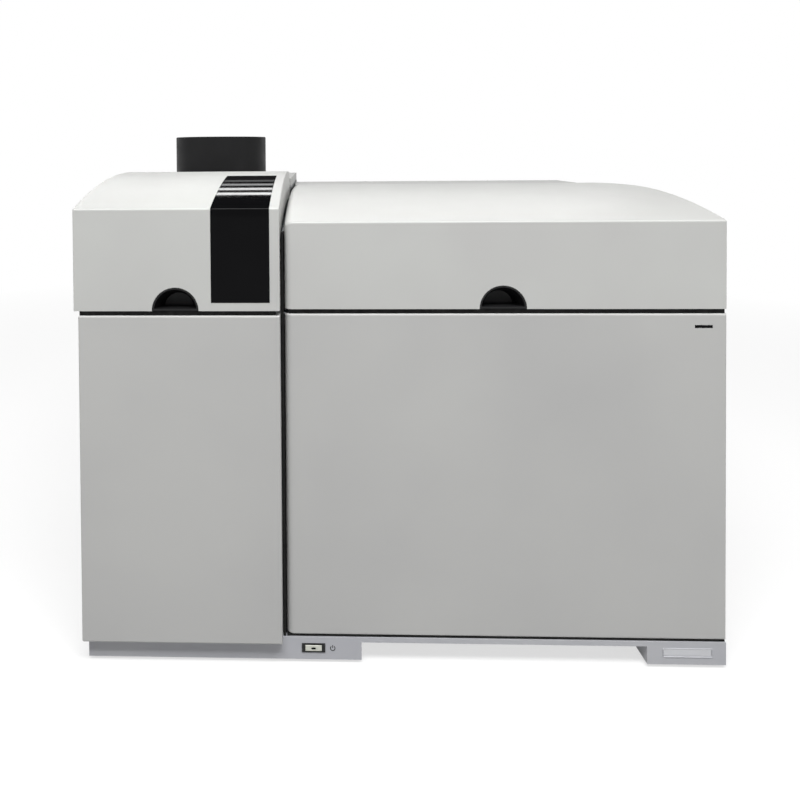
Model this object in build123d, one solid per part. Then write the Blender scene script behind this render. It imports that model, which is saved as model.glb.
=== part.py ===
from build123d import *
import os
from math import cos, radians, sin

# Benchtop inductively coupled plasma mass spectrometer, in millimetres.
# +X is to the right seen from the front, +Y to the back, +Z up.
# The origin is on the bench, under the middle of the machine's box.
# The left module holds the plasma and the sample introduction under a hood.
# The right module holds the vacuum system under the main lid.

# ---------------------------------------------------------------- cabinet
width = 730.0                # over the plasma hood and the main lid
cabinet_depth = 600.0        # front of the left module to the rear panel
port_reach = 20.0            # the rear fittings stand this far behind the panel
left_module_width = 233.5
module_gap = 4.5             # joint between the two modules
module_step = 10.0           # the left module stands this far proud of the right
side_overhang = 5.0          # hood beyond the left side panel
sheet = 1.5                  # painted steel panels
panel_return = 10.0          # folded edge of the right front panel
panel_corner = 2.0           # outside radius of a folded panel edge
soft_corner = 9.0            # radius of the right module's edge at the joint
fit_gap = 0.3                # between fixed pieces that are dropped into place
foot_height = 4.0            # rubber foot below the base
base_height = 25.5
base_lip = 5.5               # edge of the base plate between the plinths
base_wall = 2.5
base_inset = 5.0             # left end of the base inside the side panel
left_plinth_width = 313.0
right_plinth_width = 87.0
body_height = 369.5          # base plate to the top of the front panels
panel_foot_gap = 3.0         # joint between the base and the right front panel
door_drop = 3.0              # left front panel hangs this far below the base plate's top
door_clearance = 1.0         # left front panel's lower edge to the base
seam = 5.5                   # joint between the front panels and the covers
seal_setback = 3.0           # cover seal behind the front faces
seal_width = 7.0
tube = 20.0                  # square tube of the chassis

left_x = -width / 2
right_x = width / 2
hood_x = (left_x, left_x + left_module_width)
lid_x = (hood_x[1] + module_gap, right_x)
body_left_x = left_x + side_overhang
left_front_y = -(cabinet_depth + port_reach) / 2
right_front_y = left_front_y + module_step
rear_y = left_front_y + cabinet_depth
frame_front_y = right_front_y + panel_return
base_bottom_z = foot_height
base_top_z = base_bottom_z + base_height
panel_top_z = base_top_z + body_height
cover_bottom_z = panel_top_z + seam
frame_x = (body_left_x + sheet, right_x - sheet)
frame_y = (frame_front_y, rear_y - sheet)
base_x = (body_left_x + base_inset, right_x)
base_y = (right_front_y, rear_y)

# ---------------------------------------------------------------- covers
cover_wall = 4.0             # moulded hood and lid
hood_front_height = 115.5    # below the crease
hood_rise = 34.0             # crease to crest
hood_rise_depth = 236.0
hood_length = 304.0          # front face to rear edge
hood_fall = 2.8              # crest to rear edge
lid_front_height = 99.0
lid_rise = 27.0
lid_rise_depth = 240.0
lid_length = 470.0
lid_fall = 7.0
rear_flange = 14.0           # turned-down rear edge of a cover
inner_flange = 40.0          # side wall of a cover along the joint
front_return = 10.0          # side wall left at the front, along the joint
rib_depth = 8.0
rib_width = 2.5
rib_margin = 34.0            # ribs end this far from a cover's open edges
rib_pitch = 82.0             # between the lid's ribs
crease_radius = 3.0
cover_edge = 1.5             # radius of a cover's moulded end edges

hood_crease_z = cover_bottom_z + hood_front_height
hood_crest_z = hood_crease_z + hood_rise
hood_rear_y = left_front_y + hood_length
hood_rear_z = hood_crest_z - hood_fall
lid_crease_z = cover_bottom_z + lid_front_height
lid_crest_z = lid_crease_z + lid_rise
lid_rear_y = right_front_y + lid_length
lid_rear_z = lid_crest_z - lid_fall

finger_radius = 26.5
finger_depth = 22.0
finger_wall = 2.0
hood_finger_offset = 115.6   # from the hood's left end
lid_finger_offset = 245.8    # from the lid's left end
window_margin = 11.2         # from the hood's right end
window_width = 66.3
window_sill = 9.0            # above the hood's lower edge
window_reach = 162.0         # over the crease, along the top
window_thickness = 2.5
window_ledge = 5.0
pane_gap = 0.2               # round the window's edge

# ---------------------------------------------------------------- hinges
hinge_setback = 8.0          # hinge axis ahead of a cover's rear edge
hinge_drop = 11.0            # hinge axis below the rear edge's top
cover_gap = 6.0              # a cover's rear edge to the fixed deck and side panel
pin_radius = 3.0
pin_clearance = 0.05
knuckle_radius = 5.5
knuckle_width = 14.0
ear_width = 6.0
ear_clearance = 0.3
ear_reach = 26.0             # foot of an ear under the cover
notch_clearance = 2.0
bracket_arm = 8.0
bracket_drop = 24.0          # underside of the bracket below the hinge axis
hinge_inset = 45.0           # from the end of a cover to its hinge

hood_axis_y = hood_rear_y - hinge_setback
hood_axis_z = hood_rear_z - hinge_drop
lid_axis_y = lid_rear_y - hinge_setback
lid_axis_z = lid_rear_z - hinge_drop
hinge_x_shift = knuckle_width / 2 + ear_clearance

# ---------------------------------------------------------------- rear decks
left_deck_drop = 10.0        # left deck below the hood's rear edge
deck_flange = 12.0
deck_front_flange = 30.0
joint_gap = 1.0              # between neighbouring panels
collar_radius = 76.0
collar_wall = 4.0
collar_height = 66.0
collar_flange = 14.0
collar_flange_thickness = 3.0
collar_offset_x = 111.5      # from the hood's left end
collar_offset_y = 132.0      # from the front edge of the left deck

left_deck_y = hood_rear_y + cover_gap
right_deck_y = lid_rear_y + cover_gap
left_deck_z = hood_rear_z - left_deck_drop
right_deck_z = lid_rear_z
collar_x = hood_x[0] + collar_offset_x
collar_y = left_deck_y + collar_offset_y

# ---------------------------------------------------------------- inner decks
bulkhead_clearance = 1.0
bulkhead_height = 92.0       # above the front panels
deck_rail_drop = 49.0        # top of the inner rails below the front panels
tray_sheet = 2.0
tray_wall = 25.0
analyser_deck_thickness = 8.0
analyser_deck_margin = 70.0  # frame to the front and rear edges of the deck

bulkhead_x = (hood_x[1] + bulkhead_clearance, lid_x[0] - bulkhead_clearance)
bulkhead_middle = (bulkhead_x[0] + bulkhead_x[1]) / 2
rail_z = panel_top_z - deck_rail_drop
tray_floor_z = rail_z + tray_sheet
analyser_deck_z = rail_z + analyser_deck_thickness

# ---------------------------------------------------------------- ion path
ion_drop = 90.5              # ion axis below the hood's crease
ion_setback = 240.0          # ion axis behind the right module's front
interface_radius = 46.0
interface_flange = 9.0
interface_flange_thickness = 6.0
interface_reach = 10.0       # housing in front of the bulkhead
interface_length = 38.0
interface_wall = 5.0
interface_cavity = 30.0
bore_clearance = 0.5
sampler_base = 25.0
sampler_plate = 3.0
sampler_height = 14.0
skimmer_base = 15.0
skimmer_height = 16.0
orifice_radius = 0.6
chamber_width = 180.0
chamber_height = 130.0
chamber_wall = 12.0
cover_plate = 12.0
driver_width = 70.0          # quadrupole driver, right of the chamber
driver_height = 116.0
driver_inset = 7.5
driver_gap = 18.5

ion_y = right_front_y + ion_setback
ion_z = hood_crease_z - ion_drop
interface_x = (bulkhead_x[0] - interface_reach, bulkhead_x[0] - interface_reach + interface_length)
driver_x = (frame_x[1] - tube - driver_inset - driver_width, frame_x[1] - tube - driver_inset)
chamber_x = (interface_x[1], driver_x[0] - driver_gap)
chamber_length = chamber_x[1] - chamber_x[0]
chamber_y = (ion_y - chamber_width / 2, ion_y + chamber_width / 2)
chamber_z = (analyser_deck_z, analyser_deck_z + chamber_height)
chamber_floor_z = chamber_z[0] + chamber_wall

NODES = {}


def block(x, y, z):
    """A box that fills three ranges."""
    size = (x[1] - x[0], y[1] - y[0], z[1] - z[0])
    return Pos(x[0], y[0], z[0]) * Box(*size, align=(Align.MIN, Align.MIN, Align.MIN))


def cylinder_z(radius, x, y, z):
    """A round bar along Z that fills the range z."""
    foot = (Align.CENTER, Align.CENTER, Align.MIN)
    return Pos(x, y, z[0]) * Cylinder(radius, z[1] - z[0], align=foot)


def cylinder_x(radius, x, y, z):
    """A round bar along X that fills the range x."""
    foot = (Align.CENTER, Align.CENTER, Align.MIN)
    return Pos(x[0], y, z) * Rot(0, 90, 0) * Cylinder(radius, x[1] - x[0], align=foot)


def cylinder_y(radius, x, y, z):
    """A round bar along Y that fills the range y."""
    foot = (Align.CENTER, Align.CENTER, Align.MIN)
    return Pos(x, y[0], z) * Rot(-90, 0, 0) * Cylinder(radius, y[1] - y[0], align=foot)


def turned_x(points, y, z):
    """A part turned about an axis along X. The points are (x, radius)."""
    return Pos(0, y, z) * revolve(make_face(Polyline(*points, close=True)), Axis.X)


def turned_z(points, x, y):
    """A part turned about an axis along Z. The points are (radius, z)."""
    section = Plane.XZ * make_face(Polyline(*points, close=True))
    return Pos(x, y, 0) * revolve(section, Axis.Z)


def turned_y(points, x, z):
    """A part turned about an axis along Y. The points are (radius, y)."""
    section = make_face(Polyline(*points, close=True))
    return Pos(x, 0, z) * revolve(section, Axis.Y)


def grown(span, amount):
    """A range that is longer by amount at each end."""
    return (span[0] - amount, span[1] + amount)


# ---------------------------------------------------------------- base and feet
left_plinth_x = (base_x[0], base_x[0] + left_plinth_width)
right_plinth_x = (base_x[1] - right_plinth_width, base_x[1])
switch_offset = 258.3        # middle of the power switch from the left plinth's end
switch_width = 26.6
switch_height = 10.0
switch_drop = 12.1           # middle of the power switch below the base plate's top
switch_frame = 0.8           # width of the bezel's rim outside the cut-out
plate_width = 53.0
plate_height = 8.0
plate_recess = 0.8
plate_thickness = 0.5
plate_inset = 42.4           # middle of the rating plate from the right end

switch_x = left_plinth_x[0] + switch_offset
switch_z = base_top_z - switch_drop
switch_hole_x = (switch_x - switch_width / 2 + switch_frame, switch_x + switch_width / 2 - switch_frame)
switch_hole_z = (switch_z - switch_height / 2 + switch_frame, switch_z + switch_height / 2 - switch_frame)
plate_x = right_plinth_x[1] - plate_inset


def base_tray():
    """Folded base: a lipped plate on two hollow plinths, open between them."""
    lip_z = base_top_z - base_lip
    roof_z = base_top_z - base_wall
    inside_y = grown(base_y, -base_wall)
    body = block(base_x, base_y, (lip_z, base_top_z))
    hollow = block((left_plinth_x[1], right_plinth_x[0]), inside_y, (lip_z - 1, roof_z))
    for span in (left_plinth_x, right_plinth_x):
        body += block(span, base_y, (base_bottom_z, lip_z))
        hollow += block(grown(span, -base_wall), inside_y, (base_bottom_z - 1, roof_z))
    body -= hollow
    through_y = (base_y[0] - 1, base_y[0] + base_wall + 1)
    body -= block(switch_hole_x, through_y, switch_hole_z)
    recess_y = (base_y[0] - 1, base_y[0] + plate_recess)
    plate_span = (plate_x - plate_width / 2, plate_x + plate_width / 2)
    body -= block(plate_span, recess_y, (switch_z - plate_height / 2, switch_z + plate_height / 2))
    return body


NODES["base_tray"] = base_tray()

foot_radius = 16.0
foot_neck_radius = 8.0
foot_pad = 9.0
foot_inset = 44.0


def rubber_feet():
    """Four turned rubber feet, pushed up into the plinths against the base plate."""
    top_z = base_top_z - base_wall
    profile = [(0, 0), (foot_radius, 0), (foot_radius, foot_pad), (foot_neck_radius, foot_pad),
               (foot_neck_radius, top_z), (0, top_z)]
    places = [(x, y) for x in (left_plinth_x[0] + foot_inset, right_plinth_x[1] - foot_inset)
              for y in (base_y[0] + foot_inset, base_y[1] - foot_inset)]
    return Compound(children=[turned_z(profile, x, y) for x, y in places])


NODES["rubber_feet"] = rubber_feet()

# ---------------------------------------------------------------- chassis
left_tower_z = left_deck_z - sheet
right_tower_z = right_deck_z - sheet
middle_x = (bulkhead_middle - tube / 2, bulkhead_middle + tube / 2)


def chassis_frame():
    """Welded square tubes: posts, the rails at the joint line and under the decks."""
    left = (frame_x[0], frame_x[0] + tube)
    right = (frame_x[1] - tube, frame_x[1])
    by_bulkhead_left = (bulkhead_x[0] - sheet - tube, bulkhead_x[0] - sheet)
    by_bulkhead_right = (bulkhead_x[1] + sheet, bulkhead_x[1] + sheet + tube)
    front = (frame_y[0], frame_y[0] + tube)
    rear = (frame_y[1] - tube, frame_y[1])
    belt = (panel_top_z - tube, panel_top_z)
    deck = (rail_z - tube, rail_z)
    left_tower_y = (left_deck_y + sheet, left_deck_y + sheet + tube)
    right_tower_y = (right_deck_y + sheet, right_deck_y + sheet + tube)
    bars = [(span, front, (base_top_z, panel_top_z)) for span in (left, middle_x, right)]
    bars += [(left, rear, (base_top_z, left_tower_z)), (right, rear, (base_top_z, right_tower_z))]
    bars += [(middle_x, rear, (base_top_z, panel_top_z))]
    bars += [(frame_x, front, belt), (frame_x, rear, belt)]
    bars += [(left, (front[0], rear[1]), belt), (right, (front[0], rear[1]), belt)]
    for span in (left, by_bulkhead_left, by_bulkhead_right, right):
        bars.append((span, (front[0], rear[1]), deck))
    for span in (left, by_bulkhead_left):
        bars.append((span, left_tower_y, (deck[0], left_tower_z)))
        bars.append((span, (left_tower_y[0], rear[1]), (left_tower_z - tube, left_tower_z)))
    for span in (by_bulkhead_right, right):
        bars.append((span, right_tower_y, (deck[0], right_tower_z)))
        bars.append((span, (right_tower_y[0], rear[1]), (right_tower_z - tube, right_tower_z)))
    frame = block(*bars[0])
    for bar in bars[1:]:
        frame += block(*bar)
    return frame


NODES["chassis_frame"] = chassis_frame()

left_tower_front = left_deck_y + sheet


def bulkhead():
    """Steel wall between the plasma compartment and the vacuum side, bored for the interface."""
    low_y = (frame_y[0] + tube, frame_y[1] - tube)
    wall = block(bulkhead_x, low_y, (base_top_z, panel_top_z))
    high_y = (frame_y[0] + panel_return, frame_y[1] - tube)
    wall += block(bulkhead_x, high_y, (panel_top_z, panel_top_z + bulkhead_height))
    hole = interface_radius + bore_clearance
    return wall - cylinder_x(hole, grown(bulkhead_x, 1), ion_y, ion_z)


NODES["bulkhead"] = bulkhead()

# ---------------------------------------------------------------- outer panels
panel_y = (frame_front_y + joint_gap, rear_y)
left_panel_top_z = left_deck_z - deck_flange - joint_gap
right_panel_top_z = right_deck_z - deck_flange - joint_gap


def side_panel(x, top_z, cover_rear_y):
    """Steel side sheet, low beside the cover and tall beside the rear deck."""
    step_y = cover_rear_y + cover_gap
    low = block(x, (panel_y[0], step_y + 1), (base_top_z, panel_top_z))
    return low + block(x, (step_y, panel_y[1]), (base_top_z, top_z))


NODES["left_side_panel"] = side_panel((body_left_x, frame_x[0]), left_panel_top_z, hood_rear_y)
NODES["right_side_panel"] = side_panel((frame_x[1], right_x), right_panel_top_z, lid_rear_y)


def softened(solid, corner, left_corner):
    """Round the front edges, with a radius of its own at the left end."""
    upright = solid.edges().filter_by(Axis.Z).group_by(Axis.Y)[0].sort_by(Axis.X)[0]
    solid = fillet(upright, left_corner)
    face = solid.faces().sort_by(Axis.Y)[0]
    return fillet(face.edges().sort_by(Axis.X)[1:], corner)


def folded_pan(x, front_y, z, corner, left_corner):
    """A front panel folded on all four sides, open at the back."""
    outer = block(x, (front_y, frame_front_y), z)
    inner = block(grown(x, -sheet), (front_y + sheet, frame_front_y + 1), grown(z, -sheet))
    return softened(outer, corner, left_corner) - softened(inner, corner - sheet, left_corner - sheet)


left_panel_x = (body_left_x, hood_x[1])
left_panel_z = (base_top_z - door_drop, panel_top_z)
right_panel_x = (lid_x[0], right_x)
right_panel_z = (base_top_z + panel_foot_gap, panel_top_z)
lens_width = 19.5
lens_height = 3.5
lens_inset = 25.2            # middle of the status lens from the panel's right end
lens_drop = 14.2             # below the panel's top
lens_clearance = 0.1
lens_x = right_panel_x[1] - lens_inset
lens_z = panel_top_z - lens_drop


def left_front_panel():
    """Lower left front panel, notched at the bottom where it hangs before the base."""
    pan = folded_pan(left_panel_x, left_front_y, left_panel_z, panel_corner, panel_corner)
    notch_y = (right_front_y - door_clearance, frame_front_y + 1)
    return pan - block(grown(left_panel_x, 1), notch_y, (left_panel_z[0] - 1, base_top_z))


def right_front_panel():
    """Large lower front panel with the slot for the status lens."""
    pan = folded_pan(right_panel_x, right_front_y, right_panel_z, panel_corner, soft_corner)
    slot_x = (lens_x - lens_width / 2, lens_x + lens_width / 2)
    slot_z = (lens_z - lens_height / 2, lens_z + lens_height / 2)
    return pan - block(slot_x, (right_front_y - 1, right_front_y + sheet + 1), slot_z)


NODES["left_front_panel"] = left_front_panel()
NODES["right_front_panel"] = right_front_panel()

lens_flange = 2.0
lens_body = 4.0


def status_lens():
    """Dark indicator lens, pushed into the panel's slot from behind."""
    half_w = lens_width / 2 - lens_clearance
    half_h = lens_height / 2 - lens_clearance
    face_y = right_front_y + sheet
    window = block((lens_x - half_w, lens_x + half_w), (right_front_y + 0.2, face_y + 1),
                   (lens_z - half_h, lens_z + half_h))
    flange = block(grown((lens_x - half_w, lens_x + half_w), lens_flange), (face_y, face_y + lens_body),
                   grown((lens_z - half_h, lens_z + half_h), lens_flange))
    return window + flange


NODES["status_lens"] = status_lens()

bezel_lip = 0.8
bezel_depth = 9.0
bezel_clearance = 0.1
key_clearance = 0.3
key_height = 6.4
key_width = 18.6
key_travel = 2.0
key_stem = 3.0               # radius
key_lens = 3.0


def power_bezel():
    """Rim and sleeve of the power switch, clipped into the base."""
    rim_x = (switch_x - switch_width / 2, switch_x + switch_width / 2)
    rim_z = (switch_z - switch_height / 2, switch_z + switch_height / 2)
    body = block(rim_x, (base_y[0] - bezel_lip, base_y[0]), rim_z)
    sleeve_x = grown(switch_hole_x, -bezel_clearance)
    sleeve_z = grown(switch_hole_z, -bezel_clearance)
    body += block(sleeve_x, (base_y[0], base_y[0] + bezel_depth), sleeve_z)
    pocket_x = (switch_x - key_width / 2 - key_clearance, switch_x + key_width / 2 + key_clearance)
    pocket_z = (switch_z - key_height / 2 - key_clearance, switch_z + key_height / 2 + key_clearance)
    body -= block(pocket_x, (base_y[0] - bezel_lip - 1, base_y[0] + bezel_depth - 2), pocket_z)
    return body - cylinder_y(key_stem + key_clearance, switch_x, (base_y[0], base_y[0] + 20), switch_z)


def power_key():
    """Push key with a square cap and a round stem, sliding in the bezel."""
    cap_x = (switch_x - key_width / 2, switch_x + key_width / 2)
    cap_z = (switch_z - key_height / 2, switch_z + key_height / 2)
    face_y = base_y[0] - bezel_lip - 0.6
    back_y = base_y[0] + bezel_depth - 2 - key_travel - key_clearance
    cap = block(cap_x, (face_y, back_y), cap_z)
    front = cap.faces().sort_by(Axis.Y)[0].edges()
    cap = fillet(front, 0.5)
    cap -= cylinder_y(key_lens / 2, switch_x, (face_y - 1, face_y + 1), switch_z)
    return cap + cylinder_y(key_stem, switch_x, (back_y - 1, base_y[0] + bezel_depth + 3), switch_z)


NODES["power_bezel"] = power_bezel()
NODES["power_key"] = power_key()


def rating_plate():
    """Bare metal plate in its recess in the right plinth."""
    x = grown((plate_x - plate_width / 2, plate_x + plate_width / 2), -fit_gap)
    z = grown((switch_z - plate_height / 2, switch_z + plate_height / 2), -fit_gap)
    back_y = base_y[0] + plate_recess
    return block(x, (back_y - plate_thickness, back_y), z)


NODES["rating_plate"] = rating_plate()


# ---------------------------------------------------------------- hinged covers
def cover_profile(front_y, crease_z, crest, rear):
    """Side view of a cover: upright front, rounded crease, arched top."""
    front = Line((front_y, cover_bottom_z), (front_y, crease_z))
    rise = TangentArc(crest, (front_y, crease_z), tangent=(-1, 0))
    fall = TangentArc(crest, rear, tangent=(1, 0))
    back = Line(rear, (rear[0], cover_bottom_z))
    floor = Line((rear[0], cover_bottom_z), (front_y, cover_bottom_z))
    face = make_face([front, rise, fall, back, floor])
    crease = face.vertices().sort_by(Axis.X)[:2].sort_by(Axis.Y)[-1]
    return fillet(crease, crease_radius)


def along_x(face, x):
    """A side view carried across a range of X."""
    return Pos(x[0], 0, 0) * extrude(Plane.YZ * face, amount=x[1] - x[0])


def inset_solid(face, x, amount):
    """The space inside a cover, at a depth below its surface, open downwards."""
    core = offset(face, amount=-amount)
    box = face.bounding_box()
    y = (box.min.X + amount, box.max.X - amount)
    floor = block(x, y, (cover_bottom_z - 1, cover_bottom_z + amount + 1))
    return along_x(core, x) + floor




def cover_body(face, x, left_radius, right_radius):
    """The outside of a cover, with its end edges rounded from the front seam to the rear."""
    body = along_x(face, x)
    floor = cover_bottom_z + 1
    for end, radius in ((x[0], left_radius), (x[1], right_radius)):
        edges = body.edges().filter_by_position(Axis.X, end - 0.01, end + 0.01)
        rear_y = face.bounding_box().max.X
        outline = [e for e in edges if e.center().Z > floor and e.center().Y < rear_y - 0.01]
        body = fillet(outline, radius)
    return body


def cover_shell(face, x, axis, rib_places, closed_left):
    """Moulded cover with one full end wall, a flanged inner end, ribs and hinge ears."""
    left_radius = cover_edge if closed_left else soft_corner
    box = face.bounding_box()
    y = (box.min.X, box.max.X)
    rear_z = axis[1] + hinge_drop
    inside_x = grown(x, -cover_wall)
    shell = cover_body(face, x, left_radius, cover_edge) - inset_solid(face, inside_x, cover_wall)
    shell -= block(inside_x, (y[1] - cover_wall - 1, y[1] + 1), (cover_bottom_z - 1, rear_z - rear_flange))
    for place in rib_places:
        rib_x = (place - rib_width / 2, place + rib_width / 2)
        deep = inset_solid(face, grown(rib_x, 1), cover_wall + rib_depth)
        rib = along_x(offset(face, amount=1 - cover_wall), rib_x) - deep
        keep = block(grown(rib_x, 1), (y[0], y[1] - rib_margin), (cover_bottom_z + rib_margin, rear_z + 99))
        shell += rib & keep
    inner_x = (x[1] - cover_wall - 1, x[1] + 1) if closed_left else (x[0] - 1, x[0] + cover_wall + 1)
    lowered = Pos(0, 0, -inner_flange) * along_x(face, inner_x)
    lowered += block(inner_x, y, (cover_bottom_z - 1, cover_bottom_z + 30))
    opening_y = (y[0] + front_return, y[1] + 1)
    shell -= lowered & block(grown(inner_x, 1), opening_y, (cover_bottom_z - 2, rear_z + 99))
    for hinge in (x[0] + hinge_inset, x[1] - hinge_inset):
        shell = with_ears(shell, hinge, axis, y[1])
    return shell


def with_ears(shell, hinge, axis, rear_y):
    """Add the two bored ears of a hinge and notch the rear flange for its bracket."""
    half = hinge_x_shift + ear_width + notch_clearance
    notch_z = (axis[1] - 30, axis[1] + knuckle_radius)
    shell -= block((hinge - half, hinge + half), (rear_y - cover_wall - 1, rear_y + 1), notch_z)
    skin_z = axis[1] + hinge_drop - cover_wall + 1
    for side in (-1, 1):
        middle = hinge + side * (hinge_x_shift + ear_width / 2)
        span = (middle - ear_width / 2, middle + ear_width / 2)
        web = Polyline((axis[0] - ear_reach, skin_z), (axis[0] - ear_reach, skin_z - 3),
                       (axis[0] - knuckle_radius, axis[1]), (axis[0] + knuckle_radius, axis[1]),
                       (axis[0] + knuckle_radius, skin_z - 1), (axis[0], skin_z), close=True)
        shell += along_x(make_face(web), span) + cylinder_x(knuckle_radius, span, *axis)
        shell -= cylinder_x(pin_radius + pin_clearance, grown(span, ear_clearance / 2), *axis)
    return shell


hood_face = cover_profile(left_front_y, hood_crease_z, (left_front_y + hood_rise_depth, hood_crest_z),
                          (hood_rear_y, hood_rear_z))
lid_face = cover_profile(right_front_y, lid_crease_z, (right_front_y + lid_rise_depth, lid_crest_z),
                         (lid_rear_y, lid_rear_z))
window_x = (hood_x[1] - window_margin - window_width, hood_x[1] - window_margin)
window_y = (left_front_y - 1, left_front_y + window_reach)
window_z = (cover_bottom_z + window_sill, hood_crest_z + 1)
hood_finger_x = hood_x[0] + hood_finger_offset
lid_finger_x = lid_x[0] + lid_finger_offset


def skin_strip(face, x, y, z, thickness):
    """The outer part of a cover's skin, inside a window of ranges."""
    return (along_x(face, x) - inset_solid(face, grown(x, 1), thickness)) & block(x, y, z)


def finger_notch(x, front_y):
    """The half-round notch for a finger cup."""
    return cylinder_y(finger_radius, x, (front_y - 1, front_y + cover_wall + 0.5), cover_bottom_z)


def plasma_hood():
    """Hood of the plasma compartment, rebated for its window and notched for the cup."""
    ribs = [hood_x[0] + 60, hood_x[0] + 118]
    shell = cover_shell(hood_face, hood_x, (hood_axis_y, hood_axis_z), ribs, True)
    shell -= skin_strip(hood_face, window_x, window_y, window_z, window_thickness)
    light_x = grown(window_x, -window_ledge)
    light_y = (window_y[0], window_y[1] - window_ledge)
    light_z = (window_z[0] + window_ledge, window_z[1])
    shell -= skin_strip(hood_face, light_x, light_y, light_z, cover_wall + 1)
    return shell - finger_notch(hood_finger_x, left_front_y)


def main_lid():
    """Lid over the vacuum system."""
    ribs = [lid_x[0] + rib_pitch * step for step in range(1, 6) if step != 3]
    shell = cover_shell(lid_face, lid_x, (lid_axis_y, lid_axis_z), ribs, False)
    return shell - finger_notch(lid_finger_x, right_front_y)


NODES["plasma_hood"] = plasma_hood()
NODES["main_lid"] = main_lid()
pane_x = grown(window_x, -pane_gap)
pane_y = (window_y[0], window_y[1] - pane_gap)
pane_z = (window_z[0] + pane_gap, window_z[1])
NODES["hood_window"] = skin_strip(hood_face, pane_x, pane_y, pane_z, window_thickness - 0.02)


def finger_cup(x, front_y):
    """Moulded half-round cup behind the notch of a cover, with a flange inside."""
    rim = finger_radius - 0.1
    behind = front_y + cover_wall
    profile = [(0, behind + finger_depth), (rim - 8, behind + finger_depth), (rim, behind + 2),
               (rim + 6, behind + 2), (rim + 6, behind), (rim, behind), (rim, front_y + 0.3),
               (rim - finger_wall, front_y + 0.3), (rim - finger_wall, behind + 1),
               (rim - 10, behind + finger_depth - finger_wall), (0, behind + finger_depth - finger_wall)]
    bowl = turned_y(profile, x, cover_bottom_z)
    reach = rim + 10
    wide = (x - reach, x + reach)
    deep = (front_y - 1, behind + finger_depth + 1)
    low = cover_bottom_z + 0.5
    upper = block(wide, deep, (low, cover_bottom_z + reach))
    back = behind + finger_depth - 1
    floor = [(0, front_y + 0.3), (rim - 1, front_y + 0.3), (rim - 1, behind), (rim - 9, back), (0, back)]
    sill = turned_y(floor, x, cover_bottom_z)
    sill &= block(wide, deep, (low, low + finger_wall))
    return (bowl & upper) + sill


NODES["hood_finger_cup"] = finger_cup(hood_finger_x, left_front_y)
NODES["lid_finger_cup"] = finger_cup(lid_finger_x, right_front_y)

hinge_places = [(x, hood_axis_y, hood_axis_z, left_deck_y) for x in grown(hood_x, -hinge_inset)]
hinge_places += [(x, lid_axis_y, lid_axis_z, right_deck_y) for x in grown(lid_x, -hinge_inset)]


def hinge_bracket(x, y, z, deck_y):
    """Fixed knuckle on a post, bolted to the front flange of a rear deck."""
    span = (x - knuckle_width / 2, x + knuckle_width / 2)
    post = block(span, (y - knuckle_radius, y + knuckle_radius - 1), (z - bracket_drop, z))
    post += block(span, (y - knuckle_radius, deck_y), (z - bracket_drop, z - bracket_drop + bracket_arm))
    knuckle = post + cylinder_x(knuckle_radius, span, y, z)
    return knuckle - cylinder_x(pin_radius, grown(span, 1), y, z)


def hinge_pin(x, y, z):
    """Steel pin pressed into the fixed knuckle and running in the ears."""
    half = hinge_x_shift + ear_width
    return cylinder_x(pin_radius, (x - half, x + half), y, z)


NODES["hinge_brackets"] = Compound(children=[hinge_bracket(*place) for place in hinge_places])
NODES["hinge_pins"] = Compound(children=[hinge_pin(*place[:3]) for place in hinge_places])


def cover_seal(front_y, end_x, inner_x, rear_y):
    """Rubber seal round the front and the outer end of a cover, on top of the panels."""
    z = (panel_top_z, cover_bottom_z - fit_gap)
    front_span = (front_y + seal_setback, front_y + seal_setback + seal_width)
    side = 1 if inner_x > end_x else -1
    low = min(end_x, inner_x)
    high = max(end_x, inner_x)
    strip = block((low, high), front_span, z)
    edge = sorted((end_x, end_x + side * seal_width))
    return strip + block((edge[0], edge[1]), (front_span[0], rear_y), z)


def module_seal():
    """Rubber strip in the upright joint of the two modules, on the middle post and the bulkhead."""
    front_y = right_front_y + module_seal_setback
    strip = block(bulkhead_x, (front_y, frame_y[0]), (base_top_z, panel_top_z))
    upper_z = (panel_top_z, panel_top_z + bulkhead_height)
    return strip + block(bulkhead_x, (front_y, frame_y[0] + panel_return), upper_z)


seal_inset = 1.0
module_seal_setback = 1.5
left_seal = cover_seal(left_front_y, body_left_x + seal_inset, bulkhead_x[0] - 6, left_deck_y)
right_seal = cover_seal(right_front_y, right_x - seal_inset, bulkhead_x[1] + 6, right_deck_y)
NODES["cover_seals"] = Compound(children=[left_seal, right_seal, module_seal()])


# ---------------------------------------------------------------- rear decks and duct
def rear_deck(x, front_y, top_z):
    """Sheet cover over a rear bay, folded down on all sides, deeper at the front."""
    outer = block(x, (front_y, rear_y), (top_z - deck_front_flange, top_z))
    low = top_z - deck_front_flange - 1
    outer -= block(grown(x, 1), (front_y + sheet, rear_y + 1), (low, top_z - deck_flange))
    hollow = block(grown(x, -sheet), (front_y + sheet, rear_y - sheet), (low, top_z - sheet))
    for end in x:
        side = (end - sheet - fit_gap, end + sheet + fit_gap)
        outer -= block(side, (front_y - 1, front_y + 2 * sheet), (low, top_z - deck_flange))
    return outer - hollow


left_deck_x = (body_left_x, bulkhead_middle - joint_gap / 2)
right_deck_x = (bulkhead_middle + joint_gap / 2, right_x)


def left_rear_deck():
    """Rear deck of the plasma side with the exhaust hole."""
    deck = rear_deck(left_deck_x, left_deck_y, left_deck_z)
    hole = collar_radius - collar_wall
    return deck - cylinder_z(hole, collar_x, collar_y, (left_deck_z - 5, left_deck_z + 5))


NODES["left_rear_deck"] = left_rear_deck()
NODES["right_rear_deck"] = rear_deck(right_deck_x, right_deck_y, right_deck_z)


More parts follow.
